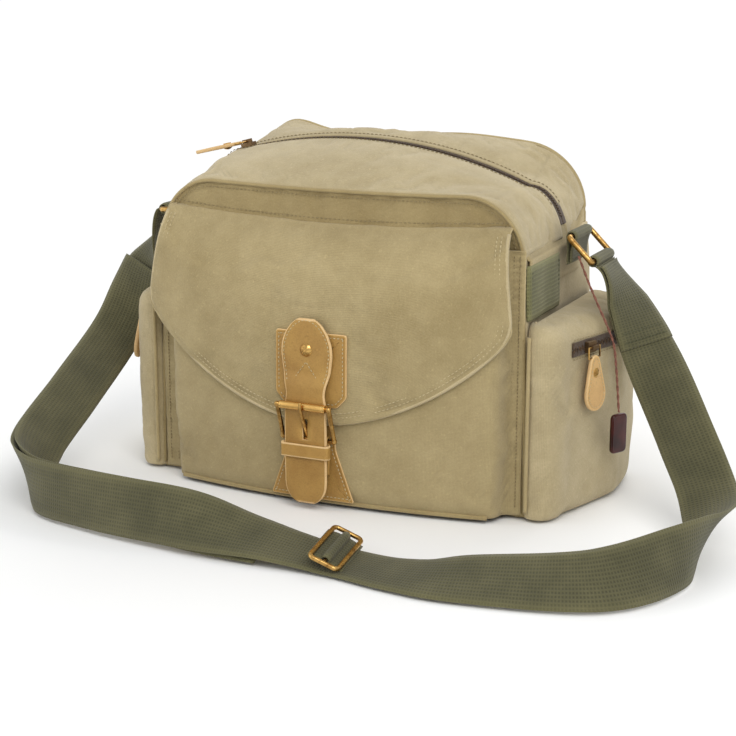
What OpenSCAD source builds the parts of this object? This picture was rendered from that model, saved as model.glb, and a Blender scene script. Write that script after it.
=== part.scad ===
// Canvas messenger bag with side pockets, front pocket and flap,
// webbing shoulder strap, leather closure and brass hardware.
// Origin: centre of the base on the ground. +Z up, front faces -Y, left is -X.

/* [Body] */
// Width of the front panel at the base
bag_width = 278; // [270:1:290]
// Depth of the body at the base, front to back
bag_depth = 140; // [136:1:150]
// Height of the front top seam
seam_height = 212; // [208:1:216]
// Height of the main zip line at its highest point
zip_height = 235; // [230:1:240]
// Sideways position of the zip's highest point
zip_peak_x = -22; // [-26:1:-16]
// Radius of the upper front corners
corner_r = 42; // [38:1:46]
// Half width lost from base to top seam
taper = 5; // [3:0.5:6]
// Thickness of a canvas panel with its lining
panel_t = 2.4; // [1.8:0.1:3]
// Thickness of the foam padding boards
foam_t = 5; // [4:0.5:7]

/* [Front pocket and flap] */
// Width of the front pocket
pocket_width = 242; // [236:1:246]
// Height of the front pocket's open edge
pocket_height = 178; // [170:1:179]
// Plan radius of the bulged pocket face
pocket_r = 616; // [600:2:640]
// Height of the flap's lowest point
flap_low = 58; // [52:1:66]
// Height of the flap's sewn line
flap_fold = 188; // [186:1:189]
// How quickly the flap rolls forward below its sewn line
flap_roll = 19; // [16:1:21]
// Half width of the flap
flap_half = 136; // [132:1:138]

/* [Side pockets] */
// How far a side pocket stands out from the body
side_out = 33; // [30:1:35]
// Distance of a side pocket's front face in front of the origin
side_front = 77; // [74:1:80]
// Distance of a side pocket's back face behind the origin
side_back = 63; // [58:1:66]
// Height of a side pocket
side_height = 130; // [124:1:132]
// Height of a side zip line
side_zip_z = 113; // [110:1:115]

/* [Strap and rings] */
// Width of the webbing
web_width = 38; // [36:0.5:39]
// Thickness of the webbing
web_t = 2.2; // [1.8:0.1:2.6]
// Wire diameter of the rectangular rings
ring_wire = 3.8; // [3.2:0.1:4.2]
// Inside width of the rings
ring_inside = 40; // [39:0.5:42]
// How far the left run of the strap lies from the middle of the bag
strap_left = 205; // [202:1:212]
// How far forward the front run of the strap lies
strap_front = 212; // [208:1:218]
// How far the right run of the strap lies from the middle of the bag
strap_right = 265; // [260:1:270]
// Downward tilt of the left ring
tilt_left = 4; // [0:1:12]
// Number of steps per span of the strap sweep
strap_steps = 5; // [4:1:6]

/* [Closure] */
// Sideways position of the leather closure
closure_x = -2; // [-6:0.5:4]
// Width of the closure strap
closure_width = 31; // [28:0.5:32]
// Radius of the buckle roller
roller_r = 2.6; // [2.3:0.1:2.8]

/* [Hidden] */

khaki = "#b5a57e";
dark_khaki = "#a8986f";
olive = "#62633f";
tan_leather = "#b0864a";
brass = "#b08d4f";
brown = "#4b3c30";
grey = "#6e6a60";
cord_brown = "#7a4a38";
tag_red = "#3a120c";

half_width = bag_width/2;
front_y = -bag_depth/2;
back_y = bag_depth/2;
gap = 0.1;                             // clearance between neighbouring panels
corner_x = half_width - taper - corner_r;
corner_z = seam_height - corner_r;
side_lean = atan(taper/seam_height);   // side panels lean in
back_lean = atan(13/231);              // back panel leans in
bulge_y = -103 + pocket_r;             // plan centre of the bulged faces
leaf_half = 100;                       // half length of the opening leaves
corner_start = leaf_half + 0.8;        // where the top corners begin
zip_y = 6;                             // line of the main zip
arch_r = 340;                          // radius of the zip arch
arch_centre_z = zip_height - arch_r;
top_back_y = 55;                       // back edge of the top

// ---------- shared helpers ----------
function clamp(v, low, high) = min(max(v, low), high);
function unit(v) = v/norm(v);
function arc(centre, r, from, to, steps) =
    [for (i = [0:steps]) let (a = from + (to - from)*i/steps) centre + r*[cos(a), sin(a)]];

// extrudes an XZ outline from y to y + thick
module upright(y, thick) { translate([0, y + thick, 0]) rotate([90, 0, 0]) linear_extrude(thick) children(); }
// parts are drawn on the right (side = 1) and mirrored for the left (side = -1)
module on_side(side) { mirror([side < 0 ? 1 : 0, 0, 0]) children(); }
module tube(outer, inner, height, fn) {
    difference() {
        cylinder(r = outer, h = height, $fn = fn);
        translate([0, 0, -1]) cylinder(r = inner, h = height + 2, $fn = fn);
    }
}
// cylinder along X, centred on x = 0, at a [y, z] place
module cross_bar(at, r, length, fn) {
    translate([-length/2, at[0], at[1]]) rotate([0, 90, 0]) cylinder(r = r, h = length, $fn = fn);
}
// rivet head: the cap of a ball whose centre is sunk below the rim
module dome(ball_r, sunk, rim_r, height, fn) {
    intersection() {
        translate([0, 0, -sunk]) sphere(r = ball_r, $fn = fn);
        cylinder(r = rim_r, h = height, $fn = fn);
    }
}
// rectangular wire frame in XY; half_x and half_y reach to the wire's centre
module wire_frame(wire_r, half_x, half_y, bend_r, bar_fn, bend_fn, wire_fn) {
    straight_x = half_x - bend_r;
    straight_y = half_y - bend_r;
    for (s = [-1, 1]) {
        translate([s*half_x, -straight_y, 0]) rotate([-90, 0, 0])
            cylinder(r = wire_r, h = 2*straight_y, $fn = bar_fn);
        translate([-straight_x, s*half_y, 0]) rotate([0, 90, 0])
            cylinder(r = wire_r, h = 2*straight_x, $fn = bar_fn);
    }
    for (a = [0, 1], b = [0, 1])
        mirror([a, 0, 0]) mirror([0, b, 0]) translate([straight_x, straight_y, 0])
            rotate_extrude(angle = 90, $fn = bend_fn)
                translate([bend_r, 0]) circle(r = wire_r, $fn = wire_fn);
}
// closed slab between two grids of points, upper[i][j] and lower[i][j]
module slab(upper, lower, flip) {
    nx = len(upper) - 1;
    ny = len(upper[0]) - 1;
    count = (nx + 1)*(ny + 1);
    id = function(i, j) i*(ny + 1) + j;
    quad = function(a, b, c, d) [[a, b, c], [a, c, d]];
    wall = function(a, b) quad(a, b, b + count, a + count);
    top = [for (i = [0:nx-1]) for (j = [0:ny-1])
        each quad(id(i, j), id(i, j+1), id(i+1, j+1), id(i+1, j))];
    bottom = [for (f = top) [f[2] + count, f[1] + count, f[0] + count]];
    x_walls = [for (i = [0:nx-1])
        each concat(wall(id(i, 0), id(i+1, 0)), wall(id(i+1, ny), id(i, ny)))];
    y_walls = [for (j = [0:ny-1])
        each concat(wall(id(0, j+1), id(0, j)), wall(id(nx, j), id(nx, j+1)))];
    faces = concat(top, bottom, x_walls, y_walls);
    polyhedron([for (grid = [upper, lower]) for (row = grid) each row],
        flip ? [for (f = faces) [f[2], f[1], f[0]]] : faces, convexity = 6);
}

// ---------- top surface of the bag ----------
zip_bend_x = 108;       // where the zip line turns down
zip_bend_length = 27;
zip_end_z = 174;
back_corner = [88, 188];  // x, z of the back corner arc's centre
back_corner_r = 43;

function seam_z(x) = let (d = clamp(abs(x) - corner_x, 0, corner_r - 0.3))
    corner_z + sqrt(pow(corner_r, 2) - d*d);
function arch_z(x) = arch_centre_z + sqrt(arch_r*arch_r - (x - zip_peak_x)*(x - zip_peak_x));
function zip_z(x) = let (d = clamp((abs(x) - zip_bend_x)/zip_bend_length, 0, 0.995))
    abs(x) <= zip_bend_x ? arch_z(x)
    : zip_end_z + (arch_z(sign(x)*zip_bend_x) - zip_end_z)*pow(1 - pow(d, 2.2), 0.62);
function back_z(x) = let (d = clamp(abs(x) - back_corner[0], 0, 42.7))
    back_corner[1] + sqrt(back_corner_r*back_corner_r - d*d) - x*x/9000;
// height over the plan: front seam, zip line and back edge blended
function top_z(x, y) = y <= zip_y
    ? let (t = clamp((y - (front_y + 4))/(zip_y - front_y - 4), 0, 1))
        seam_z(x) + (zip_z(x) - seam_z(x))*sin(90*t)
    : let (t = clamp((y - zip_y)/(top_back_y - zip_y), 0, 1))
        zip_z(x) + (back_z(x) - zip_z(x))*(1 - cos(90*t));

// slab of the top over ranges xs and ys; ease crowds the steps towards xs[1]
module top_patch(xs, ys, steps, thick, lift = 0, ease = false) {
    part = function(i) ease ? sin(90*i/steps[0]) : i/steps[0];
    upper = [for (i = [0:steps[0]]) let (x = xs[0] + (xs[1] - xs[0])*part(i))
        [for (j = [0:steps[1]]) let (y = ys[0] + (ys[1] - ys[0])*j/steps[1])
            [x, y, top_z(x, y) + lift]]];
    // the underside is narrower by a ten-thousandth
    lower = [for (row = upper) [for (p = row) [p[0]*(1 - 0.0001), p[1], p[2] - thick]]];
    slab(upper, lower, xs[1] < xs[0]);
}

// ---------- panels ----------
module front_outline(inset = 0) {
    r = corner_r - inset;
    polygon(concat([[-half_width + inset, inset], [half_width - inset, inset]],
        arc([corner_x, corner_z], r, 0, 90, 12),
        arc([-corner_x, corner_z], r, 90, 180, 12)));
}
back_outline_x = [129, 126, 120, 112, 100, 80, 40, 0,
    -40, -80, -100, -112, -120, -126, -129];
module back_outline() {
    polygon(concat([[-half_width, 0], [half_width, 0]],
        [for (x = back_outline_x) [x, back_z(x) - 2.6]]));
}
// frame of the leaning back panel
module on_back(lift = 0) { translate([0, back_y, lift]) rotate([back_lean, 0, 0]) children(); }

module front_panel() { color(khaki) upright(front_y, panel_t) front_outline(); }
module back_panel() { color(khaki) on_back(0.14) upright(-panel_t, panel_t) back_outline(); }
module base_panel() {
    color(dark_khaki) translate([-half_width + 0.4, front_y + panel_t + gap, 0])
        cube([bag_width - 0.8, bag_depth - 2*panel_t - 2*gap - 0.4, panel_t]);
}
module side_panel(side) {
    inner_front_y = front_y + panel_t + 0.2;
    top = 168;
    color(khaki) on_side(side)
        translate([half_width, 0, panel_t + gap]) rotate([0, -side_lean, 0])
        translate([-panel_t, 0, 0]) rotate([90, 0, 90]) linear_extrude(panel_t)
            polygon([[inner_front_y, 0], [back_y - panel_t - 0.4, 0],
                [top_back_y + 2, top], [inner_front_y, top]]);
}
module side_panel_left() { side_panel(-1); }
module side_panel_right() { side_panel(1); }
// rounded top end, cut out along the zip
module top_corner(side) {
    color(khaki) difference() {
        top_patch([side*133.6, side*corner_start], [front_y + 2.8, top_back_y - 1],
            steps = [12, 10], thick = panel_t, ease = true);
        translate([side*125 - 30, zip_y - 4, 160]) cube([60, 8, 80]);
    }
}
module top_corner_left() { top_corner(-1); }
module top_corner_right() { top_corner(1); }
// piping round the sides and top of the front panel
module front_piping() {
    color(dark_khaki) upright(front_y - 2.5, 2.2) difference() {
        front_outline(0.6);
        front_outline(3.2);
        translate([-half_width, -5]) square([bag_width, 11]);
    }
}
module back_piping() {
    cord_r = 1.3;
    top_half = 86;
    color(dark_khaki) on_back() translate([0, 1.5, 0]) {
        for (s = [-1, 1])
            translate([s*(half_width - 1), 0, 6]) rotate([0, -s*2.6, 0])
                cylinder(r = cord_r, h = 180, $fn = 16);
        cross_bar([0, 230.6], cord_r, 2*top_half, 16);
    }
}

// ---------- padding and divider inside ----------
foam_z = 9;             // lower edge of the upright boards
module foam_outline(top_half, top) {
    polygon([[-126, foam_z], [126, foam_z], [top_half, top], [-top_half, top]]);
}
module foam_front() { color(grey) upright(front_y + panel_t + 0.3, foam_t) foam_outline(122, 166); }
module foam_back() {
    color(grey) on_back() upright(-panel_t - foam_t - 0.4, foam_t) foam_outline(120, 176);
}
module foam_sides() {
    color(grey) for (side = [-1, 1])
        on_side(side) translate([half_width - panel_t - 0.3, 0, foam_z])
            rotate([0, -side_lean, 0]) translate([-foam_t, -55, 0]) cube([foam_t, 105, 148]);
}
module foam_base() { color(grey) translate([-124, -58, panel_t + 0.3]) cube([248, 112, foam_t]); }
module divider() { color(grey) translate([-2, -54, foam_z]) cube([4, 100, 140]); }

// ---------- front pocket ----------
pocket_x = 3.5;         // middle of the pocket
pocket_cloth = 2.2;
pocket_base = 2.6;      // lower edge of the pocket face
gusset_base = 3;
flap_gap = 3.6;         // flap's outer face in front of the bulged face
snap_z = 33;

// upright shell with its centre line on that of the bulged faces
module bulge_shell(inner, thick) {
    translate([0, bulge_y, 0]) tube(inner + thick, inner, 260, 720);
}
function bulge_face_y(r, x) = bulge_y - sqrt(r*r - x*x);
// The flap hangs from a line on the front panel and rolls forward over the pocket.
function roll(z) = exp(-(flap_fold - z)/flap_roll);
function flap_y(x, z) = let (full = bulge_face_y(pocket_r + flap_gap, x))
    full + (front_y - flap_gap - full)*roll(z);
function pocket_y(x, z) = flap_y(x, z) + flap_gap + 3*roll(z);

module front_pocket_face() {
    outer = [for (i = [0:24]) let (x = pocket_x - pocket_width/2 + pocket_width*i/24)
        [for (j = [0:18]) let (z = pocket_base + (pocket_height - pocket_base)*sin(5*j))
            [x, pocket_y(x, z), z]]];
    inner = [for (row = outer) [for (p = row) p + [0, pocket_cloth, 0]]];
    color(khaki) slab(inner, outer, true);
}
// side walls and floor of the pocket
module front_pocket_gusset() {
    back = front_y - 0.2;
    floor_inset = 2.4;
    rise = pocket_height - gusset_base;
    color(dark_khaki) {
        for (s = [-1, 1]) let (x = pocket_x + s*(pocket_width/2 - pocket_cloth/2))
            translate([x - pocket_cloth/2, 0, 0]) rotate([90, 0, 90]) linear_extrude(pocket_cloth)
                polygon(concat([[back, pocket_height], [back, gusset_base]],
                    [for (j = [0:12]) let (z = gusset_base + rise*sin(7.5*j))
                        [pocket_y(abs(x) + 1.2, z) + 2.7 + 1.2*roll(z), z]]));
        difference() {
            translate([pocket_x - pocket_width/2 + floor_inset, -120, gusset_base])
                cube([pocket_width - 2*floor_inset, 120 + back, pocket_cloth]);
            translate([0, bulge_y, -1]) tube(pocket_r + 60, pocket_r - 2.8, 20, 720);
        }
    }
}
// outline, x from the closure's middle, z
POCKET_PATCH = [[-15, 72], [15, 72], [18, 40], [31, 5], [-31, 5], [-18, 40]];
module pocket_patch() {
    color(tan_leather) intersection() {
        bulge_shell(pocket_r + 0.05, 1.2);
        translate([closure_x, 0, 0]) upright(-125, 60) polygon(POCKET_PATCH);
    }
}
module snap_stud() {
    color(brass) translate([closure_x, -104.3, snap_z]) rotate([90, 0, 0]) {
        cylinder(r = 5.5, h = 0.4, $fn = 48);
        cylinder(r = 2.1, h = 1.2, $fn = 48);
    }
}

// ---------- side pockets ----------
side_wall = 2.2;
side_base_x = half_width + 0.3;         // plane where a pocket meets the body
nose_x = half_width + 8;                // where the round front begins
nose = [14, 21];                        // x, y size of the round front
flank_angle = 16;
flank_start = [nose_x + nose[0], nose[1] - side_front];
flank_dir = [sin(flank_angle), cos(flank_angle)];
function flank(t) = flank_start + flank_dir*t;

// side pocket seen from the front, in XZ
module side_profile(inset) {
    base_x = side_base_x - (inset > 0 ? 3 : 0);
    out_x = half_width + side_out;
    polygon([[base_x, 1 + inset], [out_x - 6 - inset*0.6, 1 + inset],
        [out_x + 4 - inset, 9], [out_x + 4 - inset, 119], [out_x - 1 - inset, 124],
        [out_x - 10 - inset*0.8, side_height - 2 - inset],
        [out_x - 20, side_height - inset], [base_x, side_height - 3 - inset]]);
}
// plan outline: slanted flat flank between a round front and back
module side_plan(inset) {
    outward = [flank_dir[1], -flank_dir[0]];
    end = flank(60);
    front = -side_front + inset;
    back = side_back - inset;
    polygon(concat([[half_width - 6, back], [half_width - 6, front], [nose_x, front]],
        [for (t = [0.25:0.25:0.75])
            [nose_x + nose[0]*sin(90*t) - inset*0.7, front + nose[1]*(1 - cos(90*t))]],
        [for (t = [0, 20, 40, 60]) flank(t) - outward*inset],
        [for (t = [0.25:0.25:1])
            [end[0] - inset - 16*(1 - cos(80*t)), end[1] + (back - end[1])*sin(90*t)]]));
}
module side_pocket(side) {
    depth = side_back + side_front;
    color(khaki) on_side(side) difference() {
        intersection() {
            translate([0, side_back, 0]) rotate([90, 0, 0]) linear_extrude(depth) side_profile(0);
            linear_extrude(side_height) side_plan(0);
            translate([side_base_x, -100, 0]) cube([60, 200, 200]);
        }
        intersection() {
            translate([0, side_back - side_wall, 0]) rotate([90, 0, 0])
                linear_extrude(depth - 2*side_wall) side_profile(side_wall);
            translate([0, 0, 2]) linear_extrude(side_height - 4) side_plan(side_wall);
        }
    }
}
module side_pocket_left() { side_pocket(-1); }
module side_pocket_right() { side_pocket(1); }

// ---------- side zips ----------
side_slider_along = 19;     // rest position of a side slider along the flank
side_slider_out = 1.6;
// frame on the flank at zip height, X pointing outward, Y along the zip
module on_flank(side, along, out) {
    on_side(side) translate([flank(along)[0], flank(along)[1], side_zip_z])
        rotate([0, 0, -flank_angle]) translate([out, 0, 0]) children();
}
module side_zip(side) {
    color(brown) on_flank(side, 0, 0.15) translate([0, 1, -4.8]) difference() {
        cube([1.2, 66, 9.6]);
        translate([-1, 4, 4.4]) cube([4, 58, 0.8]);
    }
}
module side_zip_left() { side_zip(-1); }
module side_zip_right() { side_zip(1); }

// slider body with its bail, facing +Z, travel along Y;
// the bail's hole runs along the travel or across it
bail_z = 3.9;
module zip_slider(hole_along) {
    hole_r = 0.75;
    difference() {
        union() {
            translate([-3.6, -5, 0]) cube([7.2, 8.9, 3]);
            translate([-1.1, -3.6, 2.9]) cube([2.2, 7.2, 2.6]);
        }
        if (hole_along)
            translate([0, -6, bail_z]) rotate([-90, 0, 0]) cylinder(r = hole_r, h = 12, $fn = 24);
        else
            cross_bar([0, bail_z], hole_r, 6, 24);
    }
}
module side_slider(side) {
    color(brass) on_flank(side, side_slider_along, side_slider_out)
        rotate([0, 90, 0]) zip_slider(true);
}
module side_slider_left() { side_slider(-1); }
module side_slider_right() { side_slider(1); }

// ---------- zip pulls ----------
// A pull hangs in the XZ plane from the pivot at the origin.
pull_t = 2.6;
pull_top_r = 5.2;
pull_end_r = 11.2;
pull_length = 21.1;         // between the centres of the two round ends
pull_top_z = -10.4;         // centre of the upper round end
pull_rivet_z = -17;
link_drop = 7;              // height of the wire link
link_half = 6.3;
link_r = 0.62;

module pull_outline() {
    slant = asin((pull_end_r - pull_top_r)/pull_length);
    polygon(concat(arc([0, 0], pull_top_r, slant, 180 - slant, 14),
        arc([0, -pull_length], pull_end_r, 180 - slant, 360 + slant, 18)));
}
module pull_body() {
    difference() {
        translate([0, pull_t/2, pull_top_z]) rotate([90, 0, 0]) linear_extrude(pull_t) pull_outline();
        translate([0, pull_t, pull_rivet_z]) rotate([90, 0, 0])
            cylinder(r = 1.3, h = 2*pull_t, $fn = 32);
        cross_bar([0, -link_drop], 0.72, 16, 24);
    }
}
// rivet, and the wire link between slider and leather
module pull_hardware() {
    translate([0, -pull_t/2 - 0.1, pull_rivet_z]) rotate([90, 0, 0])
        dome(ball_r = 4.6, sunk = 3.2, rim_r = 3.25, height = 3, fn = 48);
    translate([0, pull_t/2 + 0.1, pull_rivet_z]) rotate([-90, 0, 0])
        cylinder(r = 2.8, h = 0.7, $fn = 40);
    translate([0, pull_t/2 + 0.4, pull_rivet_z]) rotate([90, 0, 0])
        cylinder(r = 1.2, h = pull_t + 0.8, $fn = 24);
    for (s = [-1, 1])
        translate([s*link_half, 0, -link_drop]) cylinder(r = link_r, h = link_drop, $fn = 20);
    for (z = [0, -link_drop]) {
        cross_bar([0, z], link_r, 2*link_half, 20);
        for (s = [-1, 1])
            translate([s*link_half, 0, z]) sphere(r = 0.66, $fn = 20);
    }
}
module side_pull_place(side) {
    on_flank(side, side_slider_along, side_slider_out + bail_z)
        rotate([0, side > 0 ? -3 : -8, 0]) rotate([0, 0, 90]) children();
}
module side_pull_left() { color(tan_leather) side_pull_place(-1) pull_body(); }
module side_pull_right() { color(tan_leather) side_pull_place(1) pull_body(); }
module pull_rivet_left() { color(brass) side_pull_place(-1) pull_hardware(); }
module pull_rivet_right() { color(brass) side_pull_place(1) pull_hardware(); }

// ---------- webbing bands on the sides ----------
module web_band(side) {
    color(olive) on_side(side) translate([half_width, 0, 0]) rotate([0, -side_lean, 0])
        translate([0.25, front_y + 2, 132.5]) cube([1.8, 56, web_width - 2]);
}
module web_band_left() { web_band(-1); }
module web_band_right() { web_band(1); }

// ---------- main opening ----------
leaf_edge = 3.6;        // leaf edges from the zip line
tape_outer = 3.4;       // tape edges from the zip line
tape_inner = 0.15;
tape_t = 1.2;
tape_lift = -0.4;
slider_x = -107;        // parked place of the main slider
slider_angle = asin((zip_peak_x - slider_x)/arch_r);
slider_lift = 0.25;

module leaf(y_from, y_to, y_steps) {
    color(khaki) top_patch([-leaf_half, leaf_half], [y_from, y_to],
        steps = [20, y_steps], thick = panel_t);
}
module top_front_leaf() { leaf(front_y + 4.6, zip_y - leaf_edge, 6); }
module top_back_leaf() { leaf(zip_y + leaf_edge, top_back_y - 2, 5); }
module zip_tape(y_from, y_to) {
    color(brown) top_patch([-leaf_half, leaf_half], [y_from, y_to],
        steps = [20, 1], thick = tape_t, lift = tape_lift);
}
module zip_tape_front() { zip_tape(zip_y - tape_outer, zip_y - tape_inner); }
module zip_tape_back() { zip_tape(zip_y + tape_inner, zip_y + tape_outer); }
module zip_end_tape() {
    color(brown) for (s = [-1, 1])
        top_patch([s*133, s*corner_start], [zip_y - 3.3, zip_y + 3.3],
            steps = [10, 1], thick = tape_t, lift = tape_lift, ease = true);
}
module zip_end_tab() {
    color(tan_leather) translate([-136.5, zip_y - 7, 176]) cube([2.2, 14, 18]);
}
// frame on the zip arch at the parked slider
module on_arch(lift) {
    translate([zip_peak_x, zip_y, arch_centre_z]) rotate([0, -slider_angle, 0])
        translate([0, 0, arch_r]) translate([0, 0, lift]) children();
}
module main_slider() { color(brass) on_arch(slider_lift) rotate([0, 0, 90]) zip_slider(false); }
module main_pull_place() {
    on_arch(slider_lift + bail_z) rotate([0, 91, 0]) rotate([0, 0, 90]) children();
}
module main_pull() { color(tan_leather) main_pull_place() pull_body(); }
module pull_rivets_main() { color(brass) main_pull_place() pull_hardware(); }

// ---------- flap ----------
flap_side_z = 130;      // height of the lower edge at the flap's sides
function flap_edge_z(x) = let (part = min(abs(x)/(flap_half - 2), 1))
    flap_side_z - (flap_side_z - flap_low)*pow(1 - pow(part, 1.8), 0.8);
// sides lean in to the sewn line
function flap_narrow(z) = 1 - 0.062*clamp((z - 125)/62, 0, 1);

module flap_panel() {
    outer = [for (i = [0:30]) let (x = -(flap_half - 2.4)*cos(6*i), low = flap_edge_z(x))
        [for (j = [0:14]) let (z = low + (flap_fold - 1 - low)*sin(90*j/14), nx = x*flap_narrow(z))
            [nx, flap_y(nx, z), z]]];
    inner = [for (row = outer) [for (p = row) p + [0, 1.7, -1.4*roll(p[2])]]];
    color(khaki) slab(inner, outer, true);
}
module flap_seam_strip() {
    color(dark_khaki) translate([-119, front_y - 2.8, flap_fold - 5.4]) cube([238, 2.7, 5.8]);
}
// outline, x from the patch's middle, z
FLAP_PATCH = [[-26, 78], [-19, 70.5], [19, 70.5], [26, 78], [26, 120.5], [-26, 120.5]];
module flap_patch() {
    color(tan_leather) intersection() {
        bulge_shell(pocket_r + 3.7, 1.8);
        translate([closure_x + 1.5, 0, 0]) upright(-130, 60) polygon(FLAP_PATCH);
    }
}

// ---------- closure ----------
closure_half = closure_width/2;
rivet_z = 109;
roller_bar = [-116.9, 72];      // y, z of the roller bar's centre
rear_bar = [-108.6, 48];        // y, z of the rear bar's centre
bar_r = 1.3;
bar_bore_r = 1.37;
buckle_half = closure_half + 3.4;
prong_r = 1.15;
prong_y = roller_bar[0] - roller_r - 1.35;

// head edge from the tongue upward: x beyond the tongue's edge, z
BELL_HALF = [[-1.5, 80], [-0.2, 86], [2, 95], [3.4, 106], [2.8, 113],
    [0.2, 120], [-4.5, 126.4], [-10, 130.2], [-14, 131.3]];
// side profile of the leather: y, z
CLOSURE_PROFILE = [[-108.9, 132], [-108.9, 94], [-111.6, 84], [-111.6, 1],
    [-114, 1], [-114, 84.4], [-111.3, 94.4], [-111.3, 132]];

// bell-shaped head above a straight tongue with a round tip
module closure_outline() {
    polygon(concat(
        [for (a = [0:15:180]) [-closure_half*cos(a), 18.5 - 15.5*sin(a)]],
        [for (p = BELL_HALF) [closure_half + p[0], p[1]]],
        [for (i = [len(BELL_HALF)-1:-1:0]) [-closure_half - BELL_HALF[i][0], BELL_HALF[i][1]]]));
}
module closure_strap() {
    color(tan_leather) difference() {
        intersection() {
            translate([closure_x, 0, 0]) upright(-130, 60) closure_outline();
            translate([-40, 0, 0]) rotate([90, 0, 90]) linear_extrude(80) polygon(CLOSURE_PROFILE);
        }
        translate([closure_x - 1.9, -120, rear_bar[1]]) cube([3.8, 12, 15]);
        translate([closure_x, -100, rivet_z]) rotate([90, 0, 0])
            cylinder(r = 2.1, h = 20, $fn = 32);
    }
}
module closure_rivet() {
    color(brass) translate([closure_x, -111.4, rivet_z]) rotate([90, 0, 0]) {
        translate([0, 0, -2.4]) cylinder(r = 2, h = 2.5, $fn = 32);
        dome(ball_r = 5.6, sunk = 3.4, rim_r = 4.3, height = 4, fn = 64);
    }
}
module buckle_frame() {
    span = rear_bar - roller_bar;
    color(brass) translate([closure_x, 0, 0]) {
        for (bar = [roller_bar, rear_bar]) {
            cross_bar(bar, bar_r, 2*buckle_half, 32);
            for (s = [-1, 1])
                translate([s*buckle_half, bar[0], bar[1]]) sphere(r = 1.9, $fn = 40);
        }
        for (s = [-1, 1])
            translate([s*buckle_half, roller_bar[0], roller_bar[1]])
                rotate([180 + atan2(span[0], -span[1]), 0, 0])
                    cylinder(r = 1.55, h = norm(span), $fn = 32);
    }
}
module buckle_roller() {
    color(brass) translate([closure_x, 0, 0]) difference() {
        cross_bar(roller_bar, roller_r, closure_width + 2.4, 48);
        cross_bar(roller_bar, bar_bore_r, 60, 48);
    }
}
module buckle_prong() {
    root = rear_bar + [-1.2, 1.6];
    bend = [prong_y, roller_bar[1] - 1];
    tip_length = 3.6;
    reach = bend - root;
    color(brass) translate([closure_x, 0, 0]) difference() {
        union() {
            cross_bar(rear_bar, 2.5, 4.4, 40);
            translate([0, root[0], root[1]]) rotate([atan2(-reach[0], reach[1]), 0, 0])
                cylinder(r = prong_r, h = norm(reach) + 0.4, $fn = 28);
            translate([0, bend[0], bend[1]]) {
                sphere(r = prong_r, $fn = 28);
                cylinder(r = prong_r, h = tip_length, $fn = 28);
                translate([0, 0, tip_length]) sphere(r = prong_r, $fn = 28);
            }
        }
        cross_bar(rear_bar, bar_bore_r, 20, 40);
    }
}
module keeper_loop() {
    color(tan_leather) translate([closure_x, 0, 36.5]) linear_extrude(9) difference() {
        translate([-closure_half - 2.1, -116]) square([closure_width + 4.2, 6.2]);
        translate([-closure_half - 0.5, -114.4]) square([closure_width + 1, 3.1]);
    }
}
// leather turned round the rear bar, notched for the prong
module chape() {
    chape_width = closure_width - 2;
    color(tan_leather) translate([closure_x, 0, 0]) difference() {
        union() {
            difference() {
                cross_bar(rear_bar, 2.75, chape_width, 40);
                cross_bar(rear_bar, 1.4, 60, 40);
            }
            translate([-chape_width/2, rear_bar[0] + 0.1, 24]) cube([chape_width, 2.3, 22.2]);
        }
        translate([-2.6, -116, 44]) cube([5.2, 14, 10]);
    }
}
module snap_socket() {
    color(brass) translate([closure_x, -106.15, snap_z]) rotate([-90, 0, 0]) difference() {
        cylinder(r = 6, h = 1.2, $fn = 48);
        translate([0, 0, 0.25]) cylinder(r = 2.3, h = 2, $fn = 48);
    }
}

// ---------- shoulder strap ----------
strap_y = 3;                    // middle of the rings, front to back
ring_half = 11;                 // ring centre to a long bar's centre
tilt_right = 45;
// x, z of the bar held by a tab, on the right side
tab_bar = [153.5 - ring_half*cos(45), 172 + ring_half*sin(45)];
sleeve_r = ring_wire/2 + 0.15;  // inside radius of webbing turned round a bar
strap_start = 26.5;             // where the strap leaves a ring, from the tab's bar
return_gap = 1.6;               // between the doubled layers
double_end = 9;                 // station where room for the return layer ends

function tilt(side) = side > 0 ? tilt_right : tilt_left;
// x, z at a distance from the tab's bar, along the tilted ring
function on_ring(side, reach) =
    [side*(tab_bar[0] + reach*cos(tilt(side))), tab_bar[1] - reach*sin(tilt(side))];
function ring_station(side) = let (p = on_ring(side, strap_start)) [p[0], strap_y, p[1], 90];

// The strap leaves one ring, falls to the ground beside the bag, lies round
// the front and climbs to the other ring. Columns: x, y, z of the webbing's
// centre and its lean from upright: 0 stands on edge, 90 lies flat.
STATIONS = [
 ring_station(-1),                                       // left ring
 [-strap_left + 8, 4, 131, 44],                          // bows outward
 [-strap_left - 3, -18, 86, 58],
 [-strap_left + 4, -90, 53, 55],
 [-strap_left + 14, -152, 31, 50],
 [-strap_left + 40, -strap_front + 16, 21, 5],           // front left turn, on edge
 [-110, -strap_front + 2, 20, -8],
 [-45, -strap_front, 17, -28],                           // rolls over
 [5, -strap_front + 7, 9, -68],
 [62, -strap_front + 11, 3.4, -84],                      // flat under the adjuster
 [108, -strap_front + 4, 4.2, -80],
 [150, -strap_front + 2, 9, -64],
 [strap_right - 40, -strap_front + 17, 15.4, -42],       // front right turn
 [strap_right - 5, -strap_front + 60, 14.4, -14],
 [strap_right + 2, -strap_front + 100, 19, 22],
 [strap_right - 8, -63, 28, 72],                         // leaves the ground
 [strap_right - 32, -36, 60, 50],
 [strap_right - 60, -11, 98, 62],
 [strap_right - 85, 2, 136, 84],
 ring_station(1) ];                                      // right ring
last = len(STATIONS) - 1;

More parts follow.
